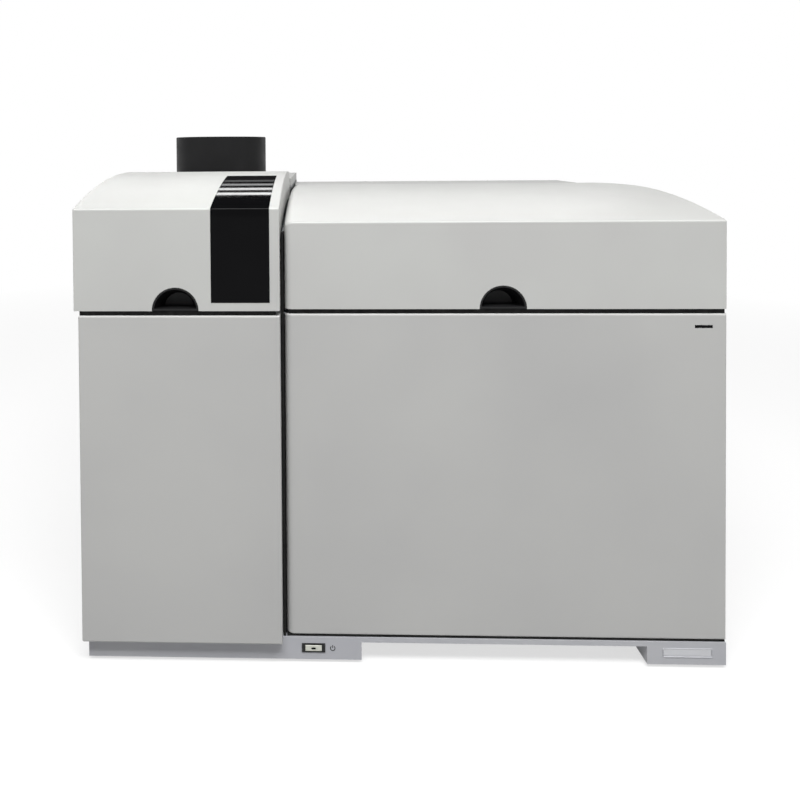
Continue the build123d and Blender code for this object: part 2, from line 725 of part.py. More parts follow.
def exhaust_collar():
    """Turned collar with a bolting flange, standing on the left deck."""
    top = left_deck_z + collar_height
    inner = collar_radius - collar_wall
    flange = collar_radius + collar_flange
    flange_z = left_deck_z + collar_flange_thickness
    profile = [(inner, left_deck_z), (flange, left_deck_z), (flange, flange_z), (collar_radius, flange_z + 2)]
    profile += [(collar_radius, top - 1), (collar_radius - 1, top), (inner + 1, top), (inner, top - 1)]
    return turned_z(profile, collar_x, collar_y)


NODES["exhaust_collar"] = exhaust_collar()

duct_margin = 26.0
duct_height = 130.0
duct_front_gap = 8.0


def exhaust_duct():
    """Sheet plenum under the left deck, open to the plasma compartment at the front."""
    x = (left_deck_x[0] + duct_margin, bulkhead_x[0] - duct_margin)
    y = (left_tower_front + tube + duct_front_gap, rear_y - 2 * duct_margin)
    top = left_deck_z - sheet
    box = block(x, y, (top - duct_height, top))
    box -= block(grown(x, -sheet), (y[0] - 1, y[1] - sheet), (top - duct_height + sheet, top - sheet))
    return box - cylinder_z(collar_radius - collar_wall, collar_x, collar_y, (top - 5, top + 1))


NODES["exhaust_duct"] = exhaust_duct()

# ---------------------------------------------------------------- rear panel and its fittings
rear_inset = 0.3             # rear panel inside the side panels
fan_size = 120.0
fan_depth = 25.0
fan_bore = 56.0
fan_x = right_x - 125
fan_z = base_top_z + 170.5
fan_hub = 20.0
fan_blades = 7
fan_shaft = 4.0
guard_slot = 6.0
guard_wire = 2.8
guard_rings = 4
foreline_x = bulkhead_x[1] + 188
foreline_z = base_top_z + 80.5
foreline_radius = 13.0
foreline_flange = 20.0
gas_x = frame_x[0] + 58.5
gas_z = panel_top_z - 69
gas_pitch = 34.0
gas_count = 4
fitting_radius = 4.0
fitting_hex = 8.0
inlet_x = bulkhead_x[1] + 68
module_size = (50.0, 104.0)
module_z = base_top_z + 74.5
inlet_z = module_z - 24      # socket in the lower half
breaker_z = module_z + 24    # breaker slot in the upper half
module_rim = 4.0
vent_count = 7
vent_pitch = 22.0
vent_width = 6.0
vent_length = 120.0
left_vent_x = frame_x[0] + 60
left_vent_z = base_top_z + 110
right_vent_x = bulkhead_x[1] + 96
right_vent_z = panel_top_z - 80
module_depth = 34.0
lever_pivot = 3.0
lever_swing = 20.0


def fan_grille(y):
    """Ring slots of the punched fan grille, crossed by bars left in the sheet."""
    slots = cylinder_y(fan_hub + guard_slot, fan_x, y, fan_z) - cylinder_y(fan_hub, fan_x, y, fan_z)
    for step in range(1, guard_rings):
        inner = fan_hub + step * (guard_slot + guard_wire)
        slots += cylinder_y(inner + guard_slot, fan_x, y, fan_z) - cylinder_y(inner, fan_x, y, fan_z)
    bar = block((fan_x - fan_bore, fan_x + fan_bore), y, (fan_z - guard_wire, fan_z + guard_wire))
    turn = Pos(fan_x, 0, fan_z) * Rot(0, 90, 0) * Pos(-fan_x, 0, -fan_z)
    return slots - bar - turn * bar


def rear_panel():
    """Rear sheet, taller behind the plasma side, pierced for the fan and the fittings."""
    skin = (rear_y - sheet, rear_y)
    x = grown(frame_x, -rear_inset)
    panel = block((x[0], bulkhead_middle), skin, (base_top_z, left_panel_top_z))
    panel += block((bulkhead_middle - 1, x[1]), skin, (base_top_z, right_panel_top_z))
    through = grown(skin, 2)
    panel -= fan_grille(through)
    panel -= cylinder_y(foreline_radius + fit_gap, foreline_x, through, foreline_z)
    for step in range(gas_count):
        panel -= cylinder_y(fitting_radius + fit_gap, gas_x + gas_pitch * step, through, gas_z)
    half = (module_size[0] / 2 - module_rim, module_size[1] / 2 - module_rim)
    panel -= block((inlet_x - half[0], inlet_x + half[0]), through, (module_z - half[1], module_z + half[1]))
    for step in range(vent_count):
        slot = extrude(RectangleRounded(vent_width, vent_length, vent_width / 2 - 0.01), 5)
        for x, z in ((left_vent_x, left_vent_z), (right_vent_x, right_vent_z)):
            panel -= Pos(x + vent_pitch * step, rear_y + 1, z) * Rot(90, 0, 0) * slot
    return panel


NODES["rear_panel"] = rear_panel()


def fan_frame():
    """Square fan frame with a round duct, a motor boss and three struts."""
    y = (rear_y - sheet - fan_depth, rear_y - sheet)
    half = fan_size / 2
    frame = block((fan_x - half, fan_x + half), y, (fan_z - half, fan_z + half))
    frame = fillet(frame.edges().filter_by(Axis.Y), 6)
    frame -= cylinder_y(fan_bore, fan_x, grown(y, 1), fan_z)
    boss = cylinder_y(fan_hub - 2, fan_x, (y[0], y[0] + 4), fan_z)
    strut = block((fan_x + 10, fan_x + fan_bore + 2), (y[0], y[0] + 4), (fan_z - 2.5, fan_z + 2.5))
    for turn in range(3):
        boss += Pos(fan_x, 0, fan_z) * Rot(0, 120 * turn, 0) * Pos(-fan_x, 0, -fan_z) * strut
    boss += cylinder_y(fan_shaft, fan_x, (y[0], y[0] + 16), fan_z)
    return frame + boss


def fan_rotor():
    """Hub with seven pitched blades, running on the frame's stub shaft."""
    y = (rear_y - sheet - fan_depth + 5, rear_y - sheet - 3)
    middle = (y[0] + y[1]) / 2
    rotor = cylinder_y(fan_hub, 0, y, 0) - cylinder_y(fan_shaft + pin_clearance, 0, (y[0] - 1, y[1] - 4), 0)
    reach = fan_bore - 2
    blade = Pos((fan_hub - 2 + reach) / 2, middle, 0) * Rot(38, 0, 0) * Box(reach - fan_hub + 2, 1.6, 20)
    for turn in range(fan_blades):
        rotor += Rot(0, 360 / fan_blades * turn, 0) * blade
    return Pos(fan_x, 0, fan_z) * rotor


NODES["fan_frame"] = fan_frame()
NODES["fan_rotor"] = fan_rotor()


def foreline_port():
    """Turned vacuum port with a clamping flange."""
    y = rear_y
    profile = [(foreline_radius - 2, y - 30), (foreline_radius, y - 30), (foreline_radius, y),
               (foreline_radius + 5, y), (foreline_radius + 5, y + 3), (foreline_radius, y + 3),
               (foreline_radius, y + port_reach - 5), (foreline_flange, y + port_reach - 3),
               (foreline_flange, y + port_reach), (foreline_radius - 2, y + port_reach)]
    return turned_y(profile, foreline_x, foreline_z)


def gas_fitting(x):
    """Bulkhead gas fitting with two hexagons and a bored stub."""
    y = rear_y
    body = cylinder_y(fitting_radius, x, (y - 14, y + 16), gas_z)
    for span in ((y - sheet - 6, y - sheet), (y, y + 6)):
        nut = Pos(x, span[0], gas_z) * Rot(-90, 0, 0) * extrude(RegularPolygon(fitting_hex, 6), 6)
        body += nut
    return body - cylinder_y(fitting_radius - 1.8, x, (y - 15, y + 17), gas_z)


NODES["foreline_port"] = foreline_port()
gas_places = [gas_x + gas_pitch * step for step in range(gas_count)]
NODES["gas_fittings"] = Compound(children=[gas_fitting(x) for x in gas_places])


def power_entry():
    """Moulded power entry: an appliance inlet with three blades below a breaker slot."""
    half = (module_size[0] / 2, module_size[1] / 2)
    z = (module_z - half[1], module_z + half[1])
    body = block((inlet_x - half[0], inlet_x + half[0]), (rear_y, rear_y + 3), z)
    body = fillet(body.edges().filter_by(Axis.Y), 5)
    inner = half[0] - module_rim - fit_gap
    inner_z = grown(z, -module_rim - fit_gap)
    body += block((inlet_x - inner, inlet_x + inner), (rear_y - module_depth, rear_y), inner_z)
    body -= block((inlet_x - 12.5, inlet_x + 12.5), (rear_y - 18, rear_y + 4), (inlet_z - 10, inlet_z + 10))
    for offset_x, offset_z in ((-7, -3), (7, -3), (0, 4)):
        x = inlet_x + offset_x
        blade_z = inlet_z + offset_z
        body += block((x - 1, x + 1), (rear_y - 19, rear_y - 3), (blade_z - 2, blade_z + 2))
    body -= block((inlet_x - 6, inlet_x + 6), (rear_y - 20, rear_y + 4), (breaker_z - 14, breaker_z + 14))
    return body + cylinder_x(lever_pivot, (inlet_x - 7, inlet_x + 7), rear_y - 6, breaker_z)


def breaker_lever():
    """Rocking lever on the breaker's pivot."""
    y = rear_y - 6
    lever = cylinder_x(lever_pivot + 3, (inlet_x - 5.5, inlet_x + 5.5), y, breaker_z)
    arm = block((inlet_x - 5.5, inlet_x + 5.5), (y, y + 20), (breaker_z - 3, breaker_z + 3))
    lever += Pos(0, y, breaker_z) * Rot(-lever_swing, 0, 0) * Pos(0, -y, -breaker_z) * arm
    return lever - cylinder_x(lever_pivot + pin_clearance, (inlet_x - 6, inlet_x + 6), y, breaker_z)


NODES["power_entry"] = power_entry()
NODES["breaker_lever"] = breaker_lever()

# ---------------------------------------------------------------- plasma compartment
stage_travel = 30.0
rod_radius = 5.0
rod_z = tray_floor_z + 8
rod_y = (ion_y - 38, ion_y + 38)
rod_x = (frame_x[0] + 13.5, bulkhead_x[0] - 15.5)
rail_web = 4.0
rail_foot = 18.0
stage_z = (rod_z + 8, rod_z + 14)
box_gap = 9.5                # torch box to the interface housing
box_width = 66.0
box_x = (interface_x[0] - box_gap - box_width, interface_x[0] - box_gap)
bearing_length = 20.0
bearing_x = [(start, start + bearing_length) for start in (box_x[1] - 140, box_x[1] - 30)]
box_half = 44.0
box_height = 108.0
torch_radius = 10.0
torch_x = (box_x[1] - 96, box_x[1] - 16)
coil_radius = 15.0
coil_tube = 2.0
coil_pitch = 6.0
spray_radius = 19.0
spray_x = (torch_x[0] - 48, torch_x[0])
cooler_x = (spray_x[0] + 2, spray_x[0] + 38)
cooler_half = 30.0


def plasma_tray():
    """Folded drip tray on the inner rails, with raised walls."""
    x = (frame_x[0] + 0.5, bulkhead_x[0] - 0.5)
    y = (frame_y[0] + tube + 2, left_tower_front - 3)
    top = rail_z + tray_wall
    tray = block(x, y, (rail_z, top))
    tray = fillet(tray.edges().filter_by(Axis.Z), 4)
    return tray - block(grown(x, -tray_sheet), grown(y, -tray_sheet), (tray_floor_z, top + 1))


NODES["plasma_tray"] = plasma_tray()


def stage_rail(y):
    """Supported round rail: a bead on a web with a broad foot, screwed to the tray floor."""
    rail = cylinder_x(rod_radius, rod_x, y, rod_z)
    rail += block(rod_x, (y - rail_web / 2, y + rail_web / 2), (tray_floor_z, rod_z))
    return rail + block(rod_x, (y - rail_foot / 2, y + rail_foot / 2), (tray_floor_z, tray_floor_z + 3))


NODES["stage_rails"] = Compound(children=[stage_rail(y) for y in rod_y])


def torch_stage():
    """Sliding plate with four bearing blocks, bored and slotted for the rails."""
    plate = block((bearing_x[0][0] - 4, box_x[1]), (rod_y[0] - 12, rod_y[1] + 12), stage_z)
    plate = fillet(plate.edges().filter_by(Axis.Z), 3)
    for span in bearing_x:
        for y in rod_y:
            plate += block(span, (y - 9, y + 9), (rod_z - 4, stage_z[0]))
            plate -= cylinder_x(rod_radius + pin_clearance, grown(span, 1), y, rod_z)
            slot = (y - rail_web / 2 - 0.6, y + rail_web / 2 + 0.6)
            plate -= block(grown(span, 1), slot, (rod_z - 5, rod_z))
    return plate


def torch_box():
    """Shielding box round the torch, open below, with round ports and a viewing slot."""
    y = (ion_y - box_half, ion_y + box_half)
    z = (stage_z[1], stage_z[1] + box_height)
    box = block(box_x, y, z)
    box = fillet(box.edges().filter_by(Axis.Z), 4)
    box -= block(grown(box_x, -tray_sheet), grown(y, -tray_sheet), (z[0] - 1, z[1] - tray_sheet))
    box -= cylinder_x(sampler_base + 3, (box_x[1] - 5, box_x[1] + 1), ion_y, ion_z)
    box -= cylinder_x(torch_radius + fit_gap, (box_x[0] - 1, box_x[0] + 5), ion_y, ion_z)
    box -= cylinder_z(24, (box_x[0] + box_x[1]) / 2, ion_y, (z[1] - 5, z[1] + 1))
    view_x = (box_x[1] - 40, box_x[1] - 10)
    return box - block(view_x, (y[0] - 1, y[0] + 5), (ion_z - 20, ion_z + 20))


def torch():
    """Quartz torch: outer tube, middle tube and injector fused to a base."""
    x = torch_x
    base = x[0] + 14
    profile = [(x[0], 2), (x[0], 13), (base, 13), (base + 2, torch_radius), (x[1], torch_radius),
               (x[1], torch_radius - 1.5), (base + 3, torch_radius - 1.5), (base + 3, 7), (x[1] - 24, 7),
               (x[1] - 24, 6), (base + 3, 6), (base + 3, 3), (x[1] - 28, 3), (x[1] - 28, 1.2), (base, 2)]
    return turned_x(profile, ion_y, ion_z)


def rf_coil():
    """Three-turn copper load coil round the torch, with two leads down to the stage."""
    length = 3 * coil_pitch
    path = Helix(pitch=coil_pitch, height=length, radius=coil_radius)
    start = Plane(origin=path @ 0, z_dir=path % 0)
    coil = sweep(start * Circle(coil_tube), path=path, is_frenet=True)
    x = torch_x[1] - 6 - length
    coil = Pos(x, ion_y, ion_z) * Rot(0, 90, 0) * coil
    for place in (x, x + length):
        coil += cylinder_z(coil_tube, place, ion_y, (stage_z[1], ion_z - coil_radius))
        coil += Pos(place, ion_y, ion_z - coil_radius) * Sphere(coil_tube)
    return coil


NODES["torch_stage"] = torch_stage()
NODES["torch_box"] = torch_box()
NODES["torch"] = torch()
NODES["rf_coil"] = rf_coil()


def spray_chamber():
    """Hollow glass chamber with a domed end, a neck to the torch and a drain."""
    x = spray_x
    wall = 1.5
    r = spray_radius
    neck = 6.0
    profile = [(x[0], 4), (x[0], r - 6), (x[0] + 2, r - 2), (x[0] + 6, r), (x[1] - 12, r)]
    profile += [(x[1] - 7, r - 4), (x[1] - 5, neck), (x[1], neck), (x[1], neck - wall)]
    profile += [(x[1] - 6, neck - wall), (x[1] - 9, r - 5), (x[1] - 13, r - wall)]
    profile += [(x[0] + 7, r - wall), (x[0] + 3, r - 6), (x[0] + 3, 4)]
    return turned_x(profile, ion_y, ion_z)


def cooler_block():
    """Cooled block round the spray chamber, on a pedestal, with cooling fins on top."""
    y = (ion_y - cooler_half, ion_y + cooler_half)
    body = block(cooler_x, y, (stage_z[1], ion_z + 26))
    body = chamfer(body.edges().filter_by(Axis.X).sort_by(Axis.Z)[-2:], 5)
    for step in range(6):
        place = y[0] + 10 + 8 * step
        body += block(cooler_x, (place - 1, place + 1), (ion_z + 25, ion_z + 40))
    body -= block(grown(cooler_x, 1), (y[0] - 1, y[0] + 12), (stage_z[1] + 8, ion_z - 26))
    body -= block(grown(cooler_x, 1), (y[1] - 12, y[1] + 1), (stage_z[1] + 8, ion_z - 26))
    return body - cylinder_x(spray_radius + fit_gap, grown(cooler_x, 1), ion_y, ion_z)


def nebulizer():
    """Concentric glass nebulizer with a side arm, plugged into the spray chamber."""
    x = spray_x[0]
    profile = [(x - 24, 1.2), (x - 24, 2), (x - 12, 3.6), (x + 12, 3.9)]
    profile += [(x + 16, 1.5), (x + 16, 0.6), (x + 10, 1.2)]
    body = turned_x(profile, ion_y, ion_z)
    arm = cylinder_y(1.8, x - 8, (ion_y - 16, ion_y - 2), ion_z)
    return body + arm


NODES["spray_chamber"] = spray_chamber()
NODES["cooler_block"] = cooler_block()
NODES["nebulizer"] = nebulizer()

# ---------------------------------------------------------------- sample pump
pump_x = frame_x[0] + 62.5
pump_z = tray_floor_z + 46
pump_face_y = frame_y[0] + tube + 34
pump_wing = (40.0, 34.0)     # housing beyond the rotor's axis, left and right
pump_top = 34.0
pump_depth = 50.0
rotor_radius = 18.0
rotor_length = 24.0
roller_count = 3
roller_radius = 4.0
roller_pin = 1.5
roller_orbit = 13.0
rotor_cheek = 3.0
arm_pivot_radius = 3.0
arm_pivot_x = pump_x - 30.0
arm_pivot_z = pump_z - 4.0
arm_inner = 22.0
arm_outer = 27.0
arm_width = 8.5


def pump_body():
    """Pump housing with the motor behind, its drive shaft and the pivot of the clamp arms."""
    x = (pump_x - pump_wing[0], pump_x + pump_wing[1])
    body = block(x, (pump_face_y, pump_face_y + pump_depth), (tray_floor_z, pump_z + pump_top))
    body = fillet(body.edges().filter_by(Axis.Y).sort_by(Axis.Z)[-2:], 8)
    motor = (pump_face_y + pump_depth - 1, pump_face_y + pump_depth + 20)
    body += cylinder_y(22, pump_x, motor, pump_z)
    shaft_y = (pump_face_y - 1.5 - rotor_length, pump_face_y)
    body += cylinder_y(5, pump_x, shaft_y, pump_z)
    return body + cylinder_y(arm_pivot_radius, arm_pivot_x, shaft_y, arm_pivot_z)


rotor_y = (pump_face_y - 1 - rotor_length, pump_face_y - 1)
roller_y = (rotor_y[0] + rotor_cheek + 0.2, rotor_y[1] - rotor_cheek - 0.2)
roller_angles = [45 + 360 / roller_count * step for step in range(roller_count)]
roller_places = [(pump_x + roller_orbit * cos(radians(a)), pump_z + roller_orbit * sin(radians(a)))
                 for a in roller_angles]


def pump_rotor():
    """Two cheeks on a sleeve, joined by the roller pins."""
    rotor = cylinder_y(7.5, pump_x, rotor_y, pump_z)
    rotor += cylinder_y(rotor_radius, pump_x, (rotor_y[0], rotor_y[0] + rotor_cheek), pump_z)
    rotor += cylinder_y(rotor_radius, pump_x, (rotor_y[1] - rotor_cheek, rotor_y[1]), pump_z)
    for x, z in roller_places:
        rotor += cylinder_y(roller_pin, x, rotor_y, z)
    return rotor - cylinder_y(5 + pin_clearance, pump_x, grown(rotor_y, 1), pump_z)


def pump_roller(x, z):
    """Roller on its pin."""
    bore = cylinder_y(roller_pin + pin_clearance, x, grown(roller_y, 1), z)
    return cylinder_y(roller_radius, x, roller_y, z) - bore


def clamp_arm(y):
    """Curved clamp arm over the rotor, hinged at the left and ended by a thumb tab."""
    ring = cylinder_y(arm_outer, pump_x, y, pump_z) - cylinder_y(arm_inner, pump_x, grown(y, 1), pump_z)
    ring &= block((pump_x - 40, pump_x + 40), grown(y, 1), (pump_z, pump_z + 40))
    arm = ring + block((pump_x + arm_inner, pump_x + arm_outer + 7), y, (pump_z - 1, pump_z + 3))
    arm += block((arm_pivot_x, pump_x - arm_inner), y, (pump_z - 3, pump_z + 3))
    arm += cylinder_y(arm_pivot_radius + 2.5, arm_pivot_x, y, arm_pivot_z)
    return arm - cylinder_y(arm_pivot_radius + pin_clearance, arm_pivot_x, grown(y, 1), arm_pivot_z)


NODES["pump_body"] = pump_body()
NODES["pump_rotor"] = pump_rotor()
for number, place in enumerate(roller_places, 1):
    NODES[f"pump_roller_{number}"] = pump_roller(*place)
arm_y = [(rotor_y[0] + 3, rotor_y[0] + 3 + arm_width), (rotor_y[1] - 3 - arm_width, rotor_y[1] - 3)]
NODES["clamp_arm_1"] = clamp_arm(arm_y[0])
NODES["clamp_arm_2"] = clamp_arm(arm_y[1])


# ---------------------------------------------------------------- vacuum system
def interface_housing():
    """Turned and water-cooled interface between the plasma and the vacuum chamber."""
    x = interface_x
    profile = [(x[0], 14), (x[0], interface_radius), (x[1], interface_radius), (x[1], 8), (x[1] - 8, 8),
               (x[1] - 8, interface_cavity), (x[0] + 8, interface_cavity), (x[0] + 8, 14)]
    return turned_x(profile, ion_y, ion_z)


def cone(base_x, base_radius, plate, height, wall):
    """Cone with a flat rim and a pinhole at its tip, pointing to -X."""
    root = base_x - plate
    tip = root - height
    profile = [(base_x, base_radius), (root, base_radius), (root, height + orifice_radius), (tip, 1.4),
               (tip, orifice_radius), (base_x, height + orifice_radius - wall)]
    return turned_x(profile, ion_y, ion_z)


NODES["interface_housing"] = interface_housing()
NODES["sampling_cone"] = cone(interface_x[0], sampler_base, sampler_plate, sampler_height, 2.5)
NODES["skimmer_cone"] = cone(interface_x[1] - 8, skimmer_base, 2.5, 14.0, 4.5)



def chamber_span(start, end):
    """Two stations on the ion path, given as shares of the chamber's length."""
    return (chamber_x[0] + start * chamber_length, chamber_x[0] + end * chamber_length)


turbo_x = chamber_span(0, 0.664)[1]
turbo_port = 36.0
turbo_flange = 60.0
turbo_radius = 50.0
turbo_length = 150.0
deck_y = (frame_y[0] + analyser_deck_margin, right_deck_y - 16)


def analyser_deck():
    """Thick plate on the inner rails that carries the vacuum chamber."""
    deck = block((bulkhead_x[1] + 1, frame_x[1] - 1), deck_y, (rail_z, analyser_deck_z))
    return deck - cylinder_z(turbo_flange + 2, turbo_x, ion_y, (rail_z - 1, analyser_deck_z + 1))


def vacuum_chamber():
    """Milled chamber, open at the top, with the ion inlet and the pump port."""
    body = block(chamber_x, chamber_y, chamber_z)
    body = fillet(body.edges().filter_by(Axis.Z), 6)
    hollow_y = grown(chamber_y, -chamber_wall)
    inside = block(grown(chamber_x, -chamber_wall), hollow_y, (chamber_floor_z, chamber_z[1] + 1))
    body -= fillet(inside.edges().filter_by(Axis.Z), 10)
    body -= cylinder_x(8, (chamber_x[0] - 1, chamber_x[0] + chamber_wall + 1), ion_y, ion_z)
    return body - cylinder_z(turbo_port, turbo_x, ion_y, (chamber_z[0] - 1, chamber_floor_z + 1))


bolt_pitch = (chamber_length - 16) / 4
bolt_places = [(chamber_x[0] + 8 + bolt_pitch * step, y) for step in range(5) for y in grown(chamber_y, -6)]


def chamber_cover():
    """Cover plate with a raised rim and a feedthrough boss."""
    z = (chamber_z[1], chamber_z[1] + cover_plate)
    plate = block(chamber_x, chamber_y, z)
    plate = fillet(plate.edges().filter_by(Axis.Z), 6)
    plate -= block(grown(chamber_x, -30), grown(chamber_y, -30), (z[1] - 4, z[1] + 1))
    for x in (chamber_x[0] + 80, chamber_x[1] - 80):
        plate += cylinder_z(18, x, ion_y, (z[1] - 5, z[1] + 6))
    return plate


def chamber_bolt(x, y):
    """Socket-head bolt on the chamber cover."""
    z = chamber_z[1] + cover_plate
    return cylinder_z(5, x, y, (z, z + 6)) - Pos(x, y, z + 3) * extrude(RegularPolygon(2.6, 6), 4)


NODES["analyser_deck"] = analyser_deck()
NODES["vacuum_chamber"] = vacuum_chamber()
NODES["chamber_cover"] = chamber_cover()
NODES["chamber_bolts"] = Compound(children=[chamber_bolt(x, y) for x, y in bolt_places])


def pedestal(x, half_width):
    """Foot of an optical element, from the chamber floor up to the ion axis."""
    return block(x, (ion_y - half_width, ion_y + half_width), (chamber_floor_z, ion_z))


cell_x = chamber_span(0.207, 0.459)


def collision_cell():
    """Closed tube of the collision cell with a small hole at each end."""
    cell = pedestal(grown(cell_x, -30), 10) + cylinder_x(27, cell_x, ion_y, ion_z)
    cell -= cylinder_x(22, grown(cell_x, -3), ion_y, ion_z)
    return cell - cylinder_x(4, grown(cell_x, 1), ion_y, ion_z)


quad_x = chamber_span(0.493, 0.841)
quad_rod = 8.0
quad_orbit = 15.2            # axis of a rod from the ion axis
holder_width = 10.0
holder_x = [(start, start + holder_width) for start in (quad_x[0] + 10, quad_x[1] - 20)]
quad_places = [(ion_y + quad_orbit * cos(radians(angle)), ion_z + quad_orbit * sin(radians(angle)))
               for angle in (45, 135, 225, 315)]


def rod_holder(x):
    """Insulating ring on a foot, bored for the four rods."""
    ring = pedestal(x, 14) + cylinder_x(30, x, ion_y, ion_z)
    ring -= cylinder_x(9, grown(x, 1), ion_y, ion_z)
    for y, z in quad_places:
        ring -= cylinder_x(quad_rod + pin_clearance, grown(x, 1), y, z)
    return ring


def detector():
    """Electron multiplier in its slotted case."""
    x = chamber_span(0.864, 0.95)
    front_y = ion_y - 24
    case = block(x, (front_y, ion_y + 24), (chamber_floor_z, ion_z + 26))
    case -= cylinder_x(6, (x[0] - 1, x[0] + 6), ion_y, ion_z)
    for step in range(4):
        z = ion_z - 40 + 18 * step
        case -= block(grown(x, -5), (front_y - 1, front_y + 4), (z - 3, z + 3))
    return case


NODES["collision_cell"] = collision_cell()
NODES["quadrupole_rods"] = Compound(children=[cylinder_x(quad_rod, quad_x, y, z) for y, z in quad_places])
NODES["rod_holders"] = Compound(children=[rod_holder(x) for x in holder_x])
NODES["detector"] = detector()


def turbo_pump():
    """Turbomolecular pump hung under the chamber, closed, with cooling ribs."""
    top = chamber_z[0]
    bottom = top - turbo_length
    profile = [(0, bottom), (turbo_radius - 8, bottom), (turbo_radius - 8, bottom + 24)]
    z = bottom + 24
    for step in range(5):
        profile += [(turbo_radius, z), (turbo_radius, z + 8)]
        profile += [(turbo_radius - 4, z + 8), (turbo_radius - 4, z + 14)]
        z += 14
    profile += [(turbo_radius - 4, top - 10), (turbo_flange, top - 10), (turbo_flange, top)]
    profile += [(turbo_port, top), (turbo_port, top - 20), (0, top - 20)]
    return turned_z(profile, turbo_x, ion_y)


NODES["turbo_pump"] = turbo_pump()


def finned_box(x, y, z, fins, fin_height):
    """Electronics box with a row of cooling fins on top."""
    box = block(x, y, (z[0], z[1] - fin_height))
    box = fillet(box.edges().filter_by(Axis.Z), 3)
    pitch = (x[1] - x[0] - 16) / (fins - 1)
    for step in range(fins):
        place = x[0] + 8 + pitch * step
        box += block((place - 1.2, place + 1.2), grown(y, -6), (z[1] - fin_height - 1, z[1]))
    return box


driver_z = (analyser_deck_z, analyser_deck_z + driver_height)
NODES["rf_driver"] = finned_box(driver_x, chamber_y, driver_z, 6, 16.0)
os.makedirs("parts", exist_ok=True)
for node, shape in NODES.items():
    export_step(shape, f"parts/{node}.step")
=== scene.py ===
import math

import bpy
import bmesh
from mathutils import Matrix, Vector


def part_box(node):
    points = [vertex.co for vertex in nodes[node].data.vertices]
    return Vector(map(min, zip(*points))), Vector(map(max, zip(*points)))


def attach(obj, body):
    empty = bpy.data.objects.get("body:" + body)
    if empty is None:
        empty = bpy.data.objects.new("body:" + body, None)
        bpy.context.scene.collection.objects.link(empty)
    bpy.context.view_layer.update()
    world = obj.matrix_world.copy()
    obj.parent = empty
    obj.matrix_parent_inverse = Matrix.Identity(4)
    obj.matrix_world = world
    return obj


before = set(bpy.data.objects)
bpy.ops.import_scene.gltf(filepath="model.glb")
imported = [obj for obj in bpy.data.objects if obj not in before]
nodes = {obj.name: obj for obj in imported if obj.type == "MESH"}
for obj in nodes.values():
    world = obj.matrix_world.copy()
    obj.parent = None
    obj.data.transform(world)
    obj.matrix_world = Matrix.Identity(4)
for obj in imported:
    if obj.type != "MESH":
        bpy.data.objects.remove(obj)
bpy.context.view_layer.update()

# ------------------------------------------------------------------ front, side and rear panels
# Folded mild-steel sheet, 1.5 mm, hung on the chassis. It is powder coated light grey, which leaves
# a satin skin with a faint orange peel.


def linear(code):
    """A colour written as sRGB hex, turned to the linear values that a socket takes."""
    channels = [int(code[i:i + 2], 16) / 255 for i in (1, 3, 5)]
    return [c / 12.92 if c <= 0.04045 else ((c + 0.055) / 1.055) ** 2.4 for c in channels] + [1.0]


def add(tree, kind, inputs=None, **settings):
    """A node with its settings, its values and its links."""
    node = tree.nodes.new(kind)
    for name, value in settings.items():
        setattr(node, name, value)
    for key, value in (inputs or {}).items():
        if isinstance(value, bpy.types.NodeSocket):
            tree.links.new(value, node.inputs[key])
        else:
            node.inputs[key].default_value = value
    return node


def finish(name, colour, values=None):
    """A material named for a real finish, with its tree, its surface shader and its place on the piece."""
    material = bpy.data.materials.new(name)
    material.use_nodes = True
    tree = material.node_tree
    shader = tree.nodes["Principled BSDF"]
    shader.inputs["Base Color"].default_value = linear(colour)
    for key, value in (values or {}).items():
        shader.inputs[key].default_value = value
    place = add(tree, "ShaderNodeTexCoord").outputs["Object"]
    return material, tree, shader, place


def mottle(tree, place, size, low=0.0, high=1.0, detail=2.0):
    """A soft noise of a real size in metres, spread between two values."""
    noise = add(tree, "ShaderNodeTexNoise", {"Vector": place, "Scale": 1 / size, "Detail": detail})
    spread = {"Value": noise.outputs["Fac"], "From Min": 0.3, "From Max": 0.7, "To Min": low, "To Max": high}
    return add(tree, "ShaderNodeMapRange", spread).outputs["Result"]


def tint(tree, shader, pattern, dark, light):
    """The surface's colour, which a pattern moves between two hex colours."""
    mix = add(tree, "ShaderNodeMix", {"Factor": pattern, 6: linear(dark), 7: linear(light)}, data_type="RGBA")
    tree.links.new(mix.outputs[2], shader.inputs["Base Color"])


def relief(tree, shader, pattern, strength, depth=0.0002):
    """A fine relief in the skin, pressed in by a pattern. The depth is in metres."""
    bump = add(tree, "ShaderNodeBump", {"Height": pattern, "Strength": strength, "Distance": depth})
    tree.links.new(bump.outputs["Normal"], shader.inputs["Normal"])


def dress(material, *names):
    """The finish of CAD nodes whose shape is right as it is."""
    for name in names:
        slots = nodes[name].data.materials
        slots.clear()
        slots.append(material)


# Powder coat: the eye sees a satin grey that drifts a little in tone over a large panel. The orange
# peel is drawn 3 mm across, coarser than the real 1 mm, so that it shows.
powder_coat, tree, shader, place = finish("satin powder coat light grey", "#C4C4C3", {"IOR": 1.5})
tint(tree, shader, mottle(tree, place, 0.19), "#C0C0BF", "#C7C7C5")
tree.links.new(mottle(tree, place, 0.022, 0.36, 0.44), shader.inputs["Roughness"])
relief(tree, shader, mottle(tree, place, 0.003), 0.05)
dress(powder_coat, "left_front_panel", "right_front_panel", "left_side_panel", "right_side_panel")
dress(powder_coat, "rear_panel", "left_rear_deck", "right_rear_deck")

